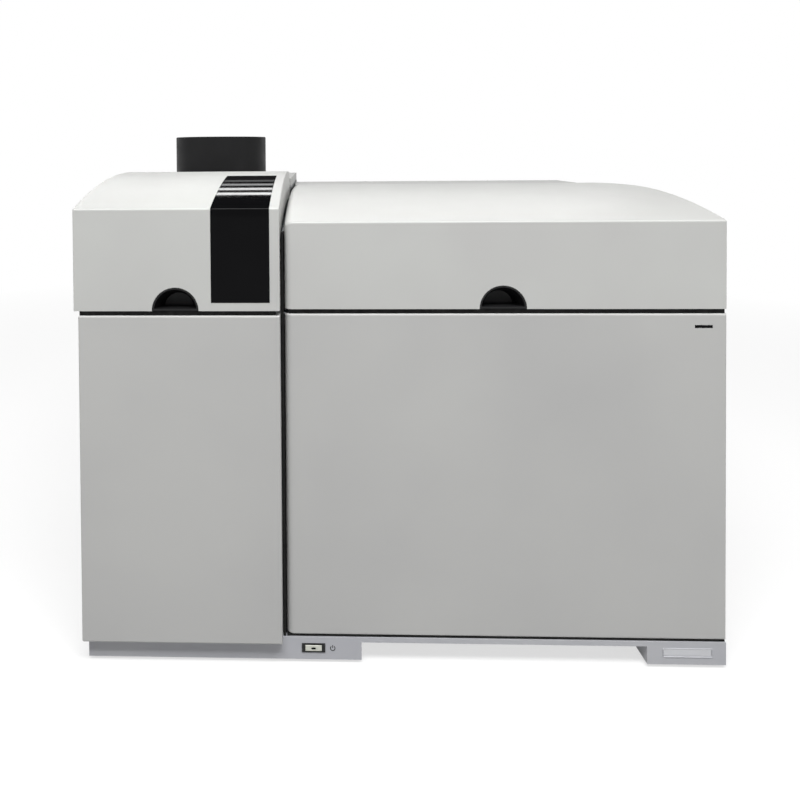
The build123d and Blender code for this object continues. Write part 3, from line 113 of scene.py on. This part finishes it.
# ------------------------------------------------------------------ hinged covers
# Hood and lid are large structural-foam mouldings, painted to match the panels. The paint is a
# little lighter and smoother than the powder coat.
cover_paint, tree, shader, place = finish("satin paint on structural foam", "#CDCDCB", {"IOR": 1.5})
tint(tree, shader, mottle(tree, place, 0.14), "#CACAC8", "#CFD0CD")
tree.links.new(mottle(tree, place, 0.03, 0.36, 0.4), shader.inputs["Roughness"])
relief(tree, shader, mottle(tree, place, 0.0025), 0.04)
dress(cover_paint, "plasma_hood", "main_lid")

# ------------------------------------------------------------------ window and status lens
# Smoked acrylic, bent over the hood's crease and polished. It is nearly black and mirrors the room.
polish = {"IOR": 1.49, "Specular IOR Level": 0.08}
smoked_acrylic, tree, shader, place = finish("smoked acrylic", "#08080A", polish)
tree.links.new(mottle(tree, place, 0.05, 0.03, 0.06), shader.inputs["Roughness"])
tint(tree, shader, mottle(tree, place, 0.08), "#060608", "#0A0A0C")
dress(smoked_acrylic, "hood_window", "status_lens")

# ------------------------------------------------------------------ finger cups and small mouldings
# Black ABS, moulded with a fine spark-eroded grain. Fingers polish the cups a little.
sheen = {"IOR": 1.54, "Specular IOR Level": 0.3}
black_abs, tree, shader, place = finish("black ABS fine grain", "#131314", sheen)
tint(tree, shader, mottle(tree, place, 0.01), "#111112", "#171718")
tree.links.new(mottle(tree, place, 0.015, 0.45, 0.58), shader.inputs["Roughness"])
relief(tree, shader, mottle(tree, place, 0.0015), 0.15)
dress(black_abs, "hood_finger_cup", "lid_finger_cup", "power_bezel", "power_entry")
dress(black_abs, "clamp_arm_1", "clamp_arm_2", "fan_frame", "fan_rotor")

# ------------------------------------------------------------------ seals and feet
# Black rubber: a matt cord in the seam and turned feet under the plinths, dusty from the bench. The same
# black makes the strips of painted shade in the joints, further down.
rubber, tree, shader, place = finish("black rubber", "#0E0E0E", {"IOR": 1.52, "Specular IOR Level": 0.3})
tint(tree, shader, mottle(tree, place, 0.02), "#0B0B0B", "#131312")
tree.links.new(mottle(tree, place, 0.006, 0.7, 0.9), shader.inputs["Roughness"])
dress(rubber, "cover_seals", "rubber_feet")

# ------------------------------------------------------------------ base
# Folded steel base on two plinths, powder coated a bluish grey, a shade darker than the panels.
base_coat, tree, shader, place = finish("satin powder coat bluish grey", "#BFC0C5", {"IOR": 1.5})
tint(tree, shader, mottle(tree, place, 0.12), "#BBBCC2", "#C3C4C8")
tree.links.new(mottle(tree, place, 0.02, 0.4, 0.5), shader.inputs["Roughness"])
relief(tree, shader, mottle(tree, place, 0.003), 0.06)
dress(base_coat, "base_tray")

# ------------------------------------------------------------------ exhaust collar
# Spun and welded steel collar, painted satin charcoal. The spinning leaves faint rings under the paint.
satin = {"IOR": 1.5, "Specular IOR Level": 0.2}
collar_paint, tree, shader, place = finish("satin charcoal paint on spun steel", "#171718", satin)
tint(tree, shader, mottle(tree, place, 0.05), "#141415", "#1A1A1B")
tree.links.new(mottle(tree, place, 0.02, 0.38, 0.5), shader.inputs["Roughness"])
ring_pitch = 0.006
rings = {"Vector": place, "Scale": 2 * math.pi / 20 / ring_pitch, "Distortion": 0.4}
spun = add(tree, "ShaderNodeTexWave", rings, bands_direction="Z").outputs["Fac"]
relief(tree, shader, spun, 0.03, 0.0003)
dress(collar_paint, "exhaust_collar")

# ------------------------------------------------------------------ power switch key and rating plate
# The key is pale moulded ABS with a smoked lens, wider than it is high, stuck over its middle. The
# plate beside the right foot is bare aluminium foil in a shallow recess.
pale_abs, tree, shader, place = finish("pale ABS", "#DCDDD2", {"IOR": 1.54})
tint(tree, shader, mottle(tree, place, 0.003), "#D6D7CB", "#E0E1D7")
tree.links.new(mottle(tree, place, 0.004, 0.35, 0.48), shader.inputs["Roughness"])
dress(pale_abs, "power_key")


def band(shape, lower, upper):
    """A band of faces between two closed rings of corners."""
    count = len(lower)
    for k in range(count):
        shape.faces.new((lower[k], lower[(k + 1) % count], upper[(k + 1) % count], upper[k]))


def settle(name, shape, material, body):
    """A finished shape, kept as a piece of one material that rides on a body."""
    bmesh.ops.recalc_face_normals(shape, faces=shape.faces)
    mesh = bpy.data.meshes.new(name)
    shape.to_mesh(mesh)
    shape.free()
    mesh.materials.append(material)
    piece = bpy.data.objects.new(name, mesh)
    bpy.context.scene.collection.objects.link(piece)
    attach(piece, body)


key_low, key_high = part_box("power_key")
lens_drop = 0.0002
lens_middle = Vector(((key_low.x + key_high.x) / 2, key_low.y, (key_low.z + key_high.z) / 2 - lens_drop))
lens_reach = 0.0017
lens_half = 0.0009
lens_rise = 0.00025
lens_steps = 24
lens = bmesh.new()
lens_rings = []
for share, rise in ((1.0, 0.0), (0.94, 0.7), (0.72, 1.0)):
    ring = []
    for step in range(lens_steps):
        angle = math.radians(360 / lens_steps * (step + 0.5))
        across = math.copysign(lens_reach, math.cos(angle)) + lens_half * share * math.cos(angle)
        spot = Vector((across, -lens_rise * rise, lens_half * share * math.sin(angle)))
        ring.append(lens.verts.new(lens_middle + spot))
    lens_rings.append(ring)
for lower, upper in zip(lens_rings, lens_rings[1:]):
    band(lens, lower, upper)
lens.faces.new(lens_rings[0])
lens.faces.new(lens_rings[-1])
settle("key_lens", lens, smoked_acrylic, "power_key")

plate_foil, tree, shader, place = finish("brushed aluminium foil", "#BDBEC1", {"Metallic": 1.0})
streaks = add(tree, "ShaderNodeMapping", {"Vector": place, "Scale": (1, 1, 40)}).outputs[0]
tree.links.new(mottle(tree, streaks, 0.01, 0.35, 0.55), shader.inputs["Roughness"])
dress(plate_foil, "rating_plate")

# ------------------------------------------------------------------ chassis and sheet-metal inside
# Square steel tube and folded sheet, zinc plated: a cool grey with the faint crystals of the zinc.
zinc, tree, shader, place = finish("zinc plated steel", "#A9ADB1", {"Metallic": 1.0})
crystal_width = 0.012
crystals = add(tree, "ShaderNodeTexVoronoi", {"Vector": place, "Scale": 1 / crystal_width})
spangle = {"Value": crystals.outputs["Distance"], "From Max": 0.9, "To Min": 0.34, "To Max": 0.52}
tree.links.new(add(tree, "ShaderNodeMapRange", spangle).outputs["Result"], shader.inputs["Roughness"])
tint(tree, shader, crystals.outputs["Distance"], "#A2A6AA", "#B4B7BA")
dress(zinc, "chassis_frame", "bulkhead", "hinge_brackets", "exhaust_duct")

# ------------------------------------------------------------------ stainless parts
# Stainless steel, turned or folded and brushed: tray, rails, pins, bolts, torch box, pump and ports.
stainless, tree, shader, place = finish("brushed stainless steel", "#B7B6B3", {"Metallic": 1.0})
grind = add(tree, "ShaderNodeMapping", {"Vector": place, "Scale": (0.04, 1, 1)}).outputs[0]
tree.links.new(mottle(tree, grind, 0.0012, 0.22, 0.42, 4.0), shader.inputs["Roughness"])
tint(tree, shader, mottle(tree, grind, 0.002), "#AEADAA", "#BFBEBB")
dress(stainless, "plasma_tray", "stage_rails", "hinge_pins", "chamber_bolts", "torch_box")
dress(stainless, "turbo_pump", "foreline_port", "collision_cell", "quadrupole_rods", "detector")
dress(stainless, "pump_roller_1", "pump_roller_2", "pump_roller_3")

# ------------------------------------------------------------------ milled aluminium
# Plates and housings milled from aluminium and left bare: pale, with the cutter's passes 8 mm apart.
milled, tree, shader, place = finish("milled aluminium", "#C8CACC", {"Metallic": 1.0})
pass_width = 0.008
passes = {"Vector": place, "Scale": 2 * math.pi / 20 / pass_width, "Distortion": 1.5, "Detail": 1.0}
cutter = add(tree, "ShaderNodeTexWave", passes, bands_direction="Y").outputs["Fac"]
lay = add(tree, "ShaderNodeMapRange", {"Value": cutter, "To Min": 0.28, "To Max": 0.4}).outputs["Result"]
tree.links.new(lay, shader.inputs["Roughness"])
tint(tree, shader, mottle(tree, place, 0.03), "#C2C4C6", "#CED0D1")
dress(milled, "analyser_deck", "vacuum_chamber", "chamber_cover", "interface_housing")
dress(milled, "torch_stage", "cooler_block", "rf_driver", "pump_rotor")

# ------------------------------------------------------------------ cones
# Sampling and skimmer cones turned from nickel, warm grey, heat stained round the tip.
nickel, tree, shader, place = finish("turned nickel", "#B9B09F", {"Metallic": 1.0})
tree.links.new(mottle(tree, place, 0.002, 0.2, 0.36), shader.inputs["Roughness"])
tint(tree, shader, mottle(tree, place, 0.012), "#9C8F7C", "#C0B8A8")
dress(nickel, "sampling_cone", "skimmer_cone")

# ------------------------------------------------------------------ torch, spray chamber and nebulizer
# Fused quartz and borosilicate glass, blown and flame polished, clear with a faint cool tint.
clear = {"IOR": 1.46, "Transmission Weight": 1.0}
quartz, tree, shader, place = finish("flame-polished quartz", "#F2F7F8", clear)
tree.links.new(mottle(tree, place, 0.01, 0.01, 0.05), shader.inputs["Roughness"])
dress(quartz, "torch", "spray_chamber", "nebulizer")

# ------------------------------------------------------------------ load coil
# Copper tube wound three turns round the torch, bright where it was polished and browned by heat.
copper, tree, shader, place = finish("bright copper tube", "#C77B55", {"Metallic": 1.0})
tree.links.new(mottle(tree, place, 0.004, 0.18, 0.34), shader.inputs["Roughness"])
tint(tree, shader, mottle(tree, place, 0.009), "#A8603F", "#D08A64")
dress(copper, "rf_coil")

# ------------------------------------------------------------------ gas fittings
# Brass compression fittings, turned from hexagon bar.
brass, tree, shader, place = finish("turned brass", "#C9A45C", {"Metallic": 1.0})
tree.links.new(mottle(tree, place, 0.002, 0.2, 0.34), shader.inputs["Roughness"])
tint(tree, shader, mottle(tree, place, 0.008), "#B98F48", "#D2B06B")
dress(brass, "gas_fittings")

# ------------------------------------------------------------------ pump housing and breaker lever
# Dark grey glass-filled nylon, moulded, matt.
grey_nylon, tree, shader, place = finish("dark grey nylon", "#4A4C4F", {"IOR": 1.53})
tint(tree, shader, mottle(tree, place, 0.015), "#45474A", "#505255")
tree.links.new(mottle(tree, place, 0.005, 0.5, 0.65), shader.inputs["Roughness"])
dress(grey_nylon, "pump_body", "breaker_lever")

# ------------------------------------------------------------------ rod holders
# Machined alumina rings that hold the quadrupole rods: off-white and slightly grainy.
alumina, tree, shader, place = finish("ground alumina", "#E8E5DA", {"IOR": 1.76})
tint(tree, shader, mottle(tree, place, 0.003), "#E2DFD3", "#EEEBE1")
tree.links.new(mottle(tree, place, 0.002, 0.4, 0.55), shader.inputs["Roughness"])
dress(alumina, "rod_holders")

# ------------------------------------------------------------------ screws
# Stainless button-head screws with a hexagon socket hold the collar, the rear panel, the interface,
# the fan and the power entry. Each head is a turned dome with its socket cut in.


def screw_tree():
    """A node tree that sets one screw head on every seed, turned the way the seed faces."""
    tree = bpy.data.node_groups.new("screw heads", "GeometryNodeTree")
    tree.interface.new_socket("Seeds", in_out="INPUT", socket_type="NodeSocketGeometry")
    for label in ("Head Radius", "Head Height"):
        tree.interface.new_socket(label, in_out="INPUT", socket_type="NodeSocketFloat")
    tree.interface.new_socket("Finish", in_out="INPUT", socket_type="NodeSocketMaterial")
    tree.interface.new_socket("Heads", in_out="OUTPUT", socket_type="NodeSocketGeometry")
    given = tree.nodes.new("NodeGroupInput").outputs
    radius = given["Head Radius"]
    height = given["Head Height"]
    crown_share = 0.62
    socket_share = 0.42
    socket_lift = 0.9
    crown = add(tree, "ShaderNodeMath", {0: radius, 1: crown_share}, operation="MULTIPLY").outputs[0]
    sides = {"Vertices": 24, "Radius Top": crown, "Radius Bottom": radius, "Depth": height}
    dome = add(tree, "GeometryNodeMeshCone", sides)
    socket = add(tree, "ShaderNodeMath", {0: radius, 1: socket_share}, operation="MULTIPLY").outputs[0]
    hexagon = add(tree, "GeometryNodeMeshCylinder", {"Vertices": 6, "Radius": socket, "Depth": height})
    rise = add(tree, "ShaderNodeMath", {0: height, 1: socket_lift}, operation="MULTIPLY").outputs[0]
    lift = add(tree, "ShaderNodeCombineXYZ", {"Z": rise}).outputs[0]
    raised = add(tree, "GeometryNodeTransform", {"Geometry": hexagon.outputs["Mesh"], "Translation": lift})
    cut = {"Mesh 1": dome.outputs["Mesh"], "Mesh 2": raised.outputs["Geometry"]}
    head = add(tree, "GeometryNodeMeshBoolean", cut, operation="DIFFERENCE")
    kept = add(tree, "GeometryNodeCaptureAttribute", {"Geometry": given["Seeds"]}, domain="FACE")
    kept.capture_items.new("VECTOR", "facing")
    tree.links.new(add(tree, "GeometryNodeInputNormal").outputs[0], kept.inputs["facing"])
    middles = add(tree, "GeometryNodeMeshToPoints", {"Mesh": kept.outputs["Geometry"]}, mode="FACES")
    turn = add(tree, "FunctionNodeAlignRotationToVector", {"Vector": kept.outputs["facing"]}, axis="Z")
    points = middles.outputs["Points"]
    spread = {"Points": points, "Instance": head.outputs["Mesh"], "Rotation": turn.outputs[0]}
    placed = add(tree, "GeometryNodeInstanceOnPoints", spread)
    solid = add(tree, "GeometryNodeRealizeInstances", {"Geometry": placed.outputs["Instances"]})
    named = {"Geometry": solid.outputs["Geometry"], "Material": given["Finish"]}
    add(tree, "NodeGroupOutput", {0: add(tree, "GeometryNodeSetMaterial", named).outputs["Geometry"]})
    return tree


def screw_row(name, tree, places, radius, height, body):
    """Screw heads at (middle, facing) places, kept as one plain mesh that rides on a body."""
    seeds = bmesh.new()
    seed_size = 0.001
    for middle, facing in places:
        turn = Vector(facing).to_track_quat("Z", "Y")
        seed_middle = Vector(middle) + Vector(facing) * height / 2
        corners = []
        for step in range(3):
            angle = math.radians(120 * step)
            corner = turn @ Vector((seed_size * math.cos(angle), seed_size * math.sin(angle), 0))
            corners.append(seeds.verts.new(seed_middle + corner))
        seeds.faces.new(corners)
    seed_mesh = bpy.data.meshes.new(name + " places")
    seeds.to_mesh(seed_mesh)
    seeds.free()
    grower = bpy.data.objects.new(name + " places", seed_mesh)
    bpy.context.scene.collection.objects.link(grower)
    modifier = grower.modifiers.new("screws", "NODES")
    modifier.node_group = tree
    values = {"Head Radius": radius, "Head Height": height, "Finish": stainless}
    for item in tree.interface.items_tree:
        if item.in_out == "INPUT" and item.name in values:
            modifier[item.identifier] = values[item.name]
    grown = grower.evaluated_get(bpy.context.evaluated_depsgraph_get())
    mesh = bpy.data.meshes.new_from_object(grown)
    bpy.data.objects.remove(grower)
    piece = bpy.data.objects.new(name, mesh)
    bpy.context.scene.collection.objects.link(piece)
    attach(piece, body)


screws = screw_tree()
upward = (0, 0, 1)
backward = (0, 1, 0)
leftward = (-1, 0, 0)

collar_low, collar_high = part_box("exhaust_collar")
collar_middle = (collar_low + collar_high) / 2
flange_thickness = 0.003
flange_inset = 0.006
flange_circle = (collar_high.x - collar_low.x) / 2 - flange_inset
collar_places = []
for step in range(8):
    angle = math.radians(22.5 + 45 * step)
    across = collar_middle.x + flange_circle * math.cos(angle)
    along = collar_middle.y + flange_circle * math.sin(angle)
    collar_places.append(((across, along, collar_low.z + flange_thickness), upward))
screw_row("collar_screws", screws, collar_places, 0.0032, 0.002, "cabinet")

panel_low, panel_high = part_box("rear_panel")
side_inset = 0.012
end_inset = 0.008
rear_places = []
for step in range(7):
    across = panel_low.x + side_inset + (panel_high.x - panel_low.x - 2 * side_inset) * step / 6
    for height in (panel_low.z + end_inset, panel_high.z - end_inset):
        rear_places.append(((across, panel_high.y, height), backward))
for step in range(1, 4):
    height = panel_low.z + (panel_high.z - panel_low.z) * step / 4
    for across in (panel_low.x + side_inset, panel_high.x - side_inset):
        rear_places.append(((across, panel_high.y, height), backward))
screw_row("rear_panel_screws", screws, rear_places, 0.0035, 0.0022, "cabinet")

interface_low, interface_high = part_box("interface_housing")
interface_middle = (interface_low + interface_high) / 2
bolt_inset = 0.010
bolt_circle = (interface_high.z - interface_low.z) / 2 - bolt_inset
interface_places = []
for step in range(6):
    angle = math.radians(30 + 60 * step)
    across = interface_middle.y + bolt_circle * math.cos(angle)
    height = interface_middle.z + bolt_circle * math.sin(angle)
    interface_places.append(((interface_low.x, across, height), leftward))
screw_row("interface_screws", screws, interface_places, 0.0035, 0.0025, "cabinet")

# Fans of this size have their holes on a square 7.5 mm inside the frame's edge.
fan_low, fan_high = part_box("fan_frame")
hole_inset = 0.0075
fan_places = []
for across in (fan_low.x + hole_inset, fan_high.x - hole_inset):
    for height in (fan_low.z + hole_inset, fan_high.z - hole_inset):
        fan_places.append(((across, panel_high.y, height), backward))
screw_row("fan_screws", screws, fan_places, 0.0038, 0.0022, "cabinet")

entry_low, entry_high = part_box("power_entry")
entry_x = (entry_low.x + entry_high.x) / 2
entry_inset = 0.0065
entry_places = []
for height in (entry_low.z + entry_inset, entry_high.z - entry_inset):
    entry_places.append(((entry_x, entry_high.y, height), backward))
screw_row("power_entry_screws", screws, entry_places, 0.003, 0.0018, "cabinet")

# ------------------------------------------------------------------ black strips in the joints, as painted shade
# Strips of black rubber on the frame behind the panels' edges: one with a D section under the right panel,
# and one flat on each side of the upright seal. They are painted shade, put in the joints to make them show
# black.


def shade_strip(name, outline, start, end, axis):
    """A black strip of painted shade, its section drawn between two ends: in Y and Z along X, or in X and Y
    along Z.
    """
    strip = bmesh.new()
    rings = []
    for along in (start, end):
        places = [(along, u, v) if axis == "X" else (u, v, along) for u, v in outline]
        rings.append([strip.verts.new(place) for place in places])
    band(strip, rings[0], rings[1])
    strip.faces.new(reversed(rings[0]))
    strip.faces.new(rings[1])
    settle(name, strip, rubber, "cabinet")


door_low, door_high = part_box("right_front_panel")
base_low, base_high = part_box("base_tray")
air = 0.00005
joint_low = base_high.z + air
joint_high = door_low.z - air
joint_half = (joint_high - joint_low) / 2
shade_strip_setback = 0.0025
shade_strip_depth = 0.006
shade_strip_start = door_low.x + 0.0005
shade_strip_end = door_high.x - 0.001
nose = base_low.y + shade_strip_setback
section = [(nose + shade_strip_depth, joint_low), (nose + shade_strip_depth, joint_high)]
for step in range(9):
    angle = math.pi / 2 + math.pi * step / 8
    height = joint_low + joint_half + joint_half * math.sin(angle)
    section.append((nose + joint_half * math.cos(angle), height))
# The strip under the right panel is black painted shade in the joint above the base.
shade_strip("panel_gasket", section, shade_strip_start, shade_strip_end, "X")

# The upright seal is 2.5 mm wide. It and the black strips of painted shade beside it stand on the face of the
# chassis tube.
seal_left = -0.1305
seal_right = -0.128
tube_face = -0.29
seam_strip_edge = tube_face - 0.003
seam_strip_crown = tube_face - 0.0034
seam_strip_chamfer = 0.0003
seam_strip_gap = 0.0001
seam_strip_bottom = base_high.z + 0.0003
seam_strip_top = door_high.z - 0.002
left_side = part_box("left_front_panel")[1].x + seam_strip_gap
right_side = door_low.x - seam_strip_gap
for number, (left, right) in enumerate(((left_side, seal_left), (seal_right, right_side))):
    seam_strip_section = [(left, tube_face), (left, seam_strip_edge), (left + seam_strip_chamfer, seam_strip_crown)]
    seam_strip_section += [(right - seam_strip_chamfer, seam_strip_crown), (right, seam_strip_edge), (right, tube_face)]
    shade_strip(f"seam_tape_{number + 1}", seam_strip_section, seam_strip_bottom, seam_strip_top, "Z")

# ------------------------------------------------------------------ standby mark
# The common standby sign, screen printed in black beside the power switch: a ring that is open at
# the top, with a short bar in the opening. The ink stands a tenth of a millimetre proud.
screen_ink, tree, shader, place = finish("black screen-print ink", "#101012", {"IOR": 1.5})
tint(tree, shader, mottle(tree, place, 0.002), "#0C0C0E", "#161618")
tree.links.new(mottle(tree, place, 0.001, 0.4, 0.6), shader.inputs["Roughness"])
bezel_low, bezel_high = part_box("power_bezel")
mark_gap = 0.0085
mark_drop = 0.0005
mark_height = (bezel_low.z + bezel_high.z) / 2 - mark_drop
mark_middle = Vector((bezel_high.x + mark_gap, base_low.y, mark_height))
ring_out = 0.0031
ring_in = 0.0021
ink = 0.0001
bar_half = 0.0005
bar_ends = (0.0003, 0.0036)
open_from = 125
arc = 290
arc_steps = 28
mark = bmesh.new()
ring_rows = []
for step in range(arc_steps + 1):
    angle = math.radians(open_from + arc * step / arc_steps)
    row = []
    for reach, depth in ((ring_in, 0), (ring_out, 0), (ring_out, ink), (ring_in, ink)):
        corner = Vector((reach * math.cos(angle), -depth, reach * math.sin(angle)))
        row.append(mark.verts.new(mark_middle + corner))
    ring_rows.append(row)
bar_rows = []
for height in bar_ends:
    corners = ((-bar_half, 0), (bar_half, 0), (bar_half, ink), (-bar_half, ink))
    row = [mark.verts.new(mark_middle + Vector((across, -depth, height))) for across, depth in corners]
    bar_rows.append(row)
for rows in (ring_rows, bar_rows):
    for here, after in zip(rows, rows[1:]):
        band(mark, here, after)
    mark.faces.new(rows[0])
    mark.faces.new(reversed(rows[-1]))
settle("standby_mark", mark, screen_ink, "cabinet")

# ------------------------------------------------------------------ frame of the rating plate
# The plinth's steel is pressed out into a low rim round the plate. Its inner side slopes back to the
# plate, so the upper edge lies in shade and the lower one catches the light.
plate_low, plate_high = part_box("rating_plate")
rim_out = 0.0016
rim_crest = 0.0011
rim_in = 0.0002
rim_rise = 0.0007
rim_shoulder = (rim_out - 0.0002, 0.0005)
rim_profile = ((rim_out, 0.0), rim_shoulder, (rim_crest, rim_rise), (rim_in, 0.0))
rim_corner = 0.0006
rim = bmesh.new()
rim_rings = []
for grown, rise in rim_profile:
    soft = rim_corner + grown / 2
    left = plate_low.x - grown + soft
    right = plate_high.x + grown - soft
    bottom = plate_low.z - grown + soft
    top = plate_high.z + grown - soft
    ring = []
    for quarter, (x, z) in enumerate(((right, top), (left, top), (left, bottom), (right, bottom))):
        for step in range(5):
            angle = math.radians(90 * quarter + 22.5 * step)
            corner = (x + soft * math.cos(angle), base_low.y - rise, z + soft * math.sin(angle))
            ring.append(rim.verts.new(corner))
    rim_rings.append(ring)
for lower, upper in zip(rim_rings, rim_rings[1:] + rim_rings[:1]):
    band(rim, lower, upper)
settle("plate_rim", rim, base_coat, "cabinet")

# ------------------------------------------------------------------ floor, light and camera
# A plain white sweep that keeps the shadow, one soft box overhead, one on the ceiling in front, one
# at each side, and four strip lights beyond the back, whose bands show in the window's top.
floor_half = 6.0
floor_mesh = bpy.data.meshes.new("floor")
floor_corners = [(floor_half * x, floor_half * y, 0) for x, y in ((-1, -1), (1, -1), (1, 1), (-1, 1))]
floor_mesh.from_pydata(floor_corners, [], [(0, 1, 2, 3)])
floor = bpy.data.objects.new("floor", floor_mesh)
bpy.context.scene.collection.objects.link(floor)
floor_white = bpy.data.materials.new("white floor")
floor_white.use_nodes = True
tree = floor_white.node_tree
tree.nodes.clear()
floor_lift = 0.66
fade_start = 0.7
fade_end = 2.4
matt = add(tree, "ShaderNodeBsdfDiffuse", {"Color": linear("#A4A4A4")})
lift = add(tree, "ShaderNodeEmission", {"Color": linear("#FFFFFF"), "Strength": floor_lift})
near = add(tree, "ShaderNodeAddShader", {0: matt.outputs[0], 1: lift.outputs[0]})
plain = add(tree, "ShaderNodeEmission", {"Color": linear("#FFFFFF"), "Strength": 1.0})
spot = add(tree, "ShaderNodeTexCoord").outputs["Object"]
reach = add(tree, "ShaderNodeVectorMath", {0: spot}, operation="LENGTH").outputs["Value"]
fade = {"Value": reach, "From Min": fade_start, "From Max": fade_end}
far = add(tree, "ShaderNodeMapRange", fade).outputs["Result"]
both = add(tree, "ShaderNodeMixShader", {0: far, 1: near.outputs[0], 2: plain.outputs[0]})
path = add(tree, "ShaderNodeLightPath").outputs
eye_or_mirror = {0: path["Is Camera Ray"], 1: path["Is Glossy Ray"]}
direct = add(tree, "ShaderNodeMath", eye_or_mirror, operation="MAXIMUM").outputs[0]
direct_or_through = {0: direct, 1: path["Is Transmission Ray"]}
seen = add(tree, "ShaderNodeMath", direct_or_through, operation="MAXIMUM").outputs[0]
chosen = add(tree, "ShaderNodeMixShader", {0: seen, 1: matt.outputs[0], 2: both.outputs[0]})
add(tree, "ShaderNodeOutputMaterial", {"Surface": chosen.outputs[0]})
floor_mesh.materials.append(floor_white)

world = bpy.data.worlds.new("studio")
bpy.context.scene.world = world
world.use_nodes = True
tree = world.node_tree
tree.nodes.clear()
path = add(tree, "ShaderNodeLightPath").outputs
toward = add(tree, "ShaderNodeSeparateXYZ", {0: add(tree, "ShaderNodeTexCoord").outputs["Generated"]})
ahead = {"Value": toward.outputs["Y"], "From Min": 0.1, "From Max": 0.4}
beyond = add(tree, "ShaderNodeMapRange", ahead).outputs["Result"]
above = {"Value": toward.outputs["Z"], "From Min": 0.04, "From Max": 0.16}
raised = add(tree, "ShaderNodeMapRange", above).outputs["Result"]
wall = add(tree, "ShaderNodeMath", {0: beyond, 1: raised}, operation="MULTIPLY").outputs[0]
mirrored = add(tree, "ShaderNodeMapRange", {"Value": wall, "To Min": 0.7, "To Max": 0.03}).outputs["Result"]
mirror_or_through = {0: path["Is Glossy Ray"], 1: path["Is Transmission Ray"]}
shiny = add(tree, "ShaderNodeMath", mirror_or_through, operation="MAXIMUM").outputs[0]
fill_light = 0.12
fill_or_mirrored = {"Factor": shiny, 2: fill_light, 3: mirrored}
room = add(tree, "ShaderNodeMix", fill_or_mirrored, data_type="FLOAT").outputs[0]
backdrop = {"Factor": path["Is Camera Ray"], 2: room, 3: 1.0}
strength = add(tree, "ShaderNodeMix", backdrop, data_type="FLOAT").outputs[0]
sky = add(tree, "ShaderNodeBackground", {"Color": linear("#FFFFFF"), "Strength": strength})
add(tree, "ShaderNodeOutputWorld", {"Surface": sky.outputs[0]})


def soft_box(name, place, aim, width, height, power):
    """An area light of a given size that looks at a point."""
    lamp = bpy.data.lights.new(name, "AREA")
    lamp.shape = "RECTANGLE"
    lamp.size = width
    lamp.size_y = height
    lamp.energy = power
    light = bpy.data.objects.new(name, lamp)
    light.location = place
    light.rotation_euler = (Vector(aim) - Vector(place)).to_track_quat("-Z", "Y").to_euler()
    bpy.context.scene.collection.objects.link(light)
    return light


overhead = soft_box("overhead box", (-0.1, -0.1, 2.6), (0, 0, 0.4), 2.4, 1.6, 10)
overhead.visible_glossy = False
soft_box("front ceiling box", (0, -1.5, 2.6), (0, -0.3, 0.35), 2.6, 0.8, 84)
soft_box("left box", (-1.7, -1.15, 0.7), (0, -0.2, 0.35), 0.7, 1.2, 1.5)
soft_box("right box", (1.7, -1.15, 0.7), (0, -0.2, 0.35), 0.7, 1.2, 1.5)

# Each strip light has its height in degrees, as the window's top sees it, and its power in watts.
window_middle = Vector((-0.175, -0.24, 0.537))
strip_lights = ((29.1, 5.0), (25.6, 3.4), (22.0, 1.1), (18.4, 0.3))
strip_reach = 2.6
for number, (height, power) in enumerate(strip_lights):
    tilt = math.radians(height)
    place = window_middle + strip_reach * Vector((0, math.cos(tilt), math.sin(tilt)))
    soft_box(f"strip light {number + 1}", place, window_middle, 3.0, 0.07, power)

# The picture is a square 800 px wide. The lens's length, and the place in the picture where its axis
# meets it, are in the same pixels.
picture = 800
lens_length = 741.6
axis_across = 294.1
axis_down = 163.36
camera_data = bpy.data.cameras.new("camera")
camera_data.sensor_width = 36.0
camera_data.lens = lens_length / picture * camera_data.sensor_width
camera_data.shift_x = (picture / 2 - axis_across) / picture
camera_data.shift_y = (axis_down - picture / 2) / picture
camera_data.clip_end = 50.0
yaw = -0.0329
pitch = 0.018
roll = -0.0077
right = Vector((math.cos(yaw), -math.sin(yaw), 0))
forward = Vector((math.cos(pitch) * math.sin(yaw), math.cos(pitch) * math.cos(yaw), -math.sin(pitch)))
up = right.cross(forward)
turned_right = math.cos(roll) * right + math.sin(roll) * up
turned_up = math.cos(roll) * up - math.sin(roll) * right
turn = Matrix((turned_right, turned_up, -forward)).transposed()
camera = bpy.data.objects.new("camera", camera_data)
eye = (-0.08716, -1.13541, 0.58457)
camera.matrix_world = Matrix.Translation(eye) @ turn.to_4x4()
bpy.context.scene.collection.objects.link(camera)
bpy.context.scene.camera = camera
bpy.context.scene.view_settings.view_transform = "Standard"
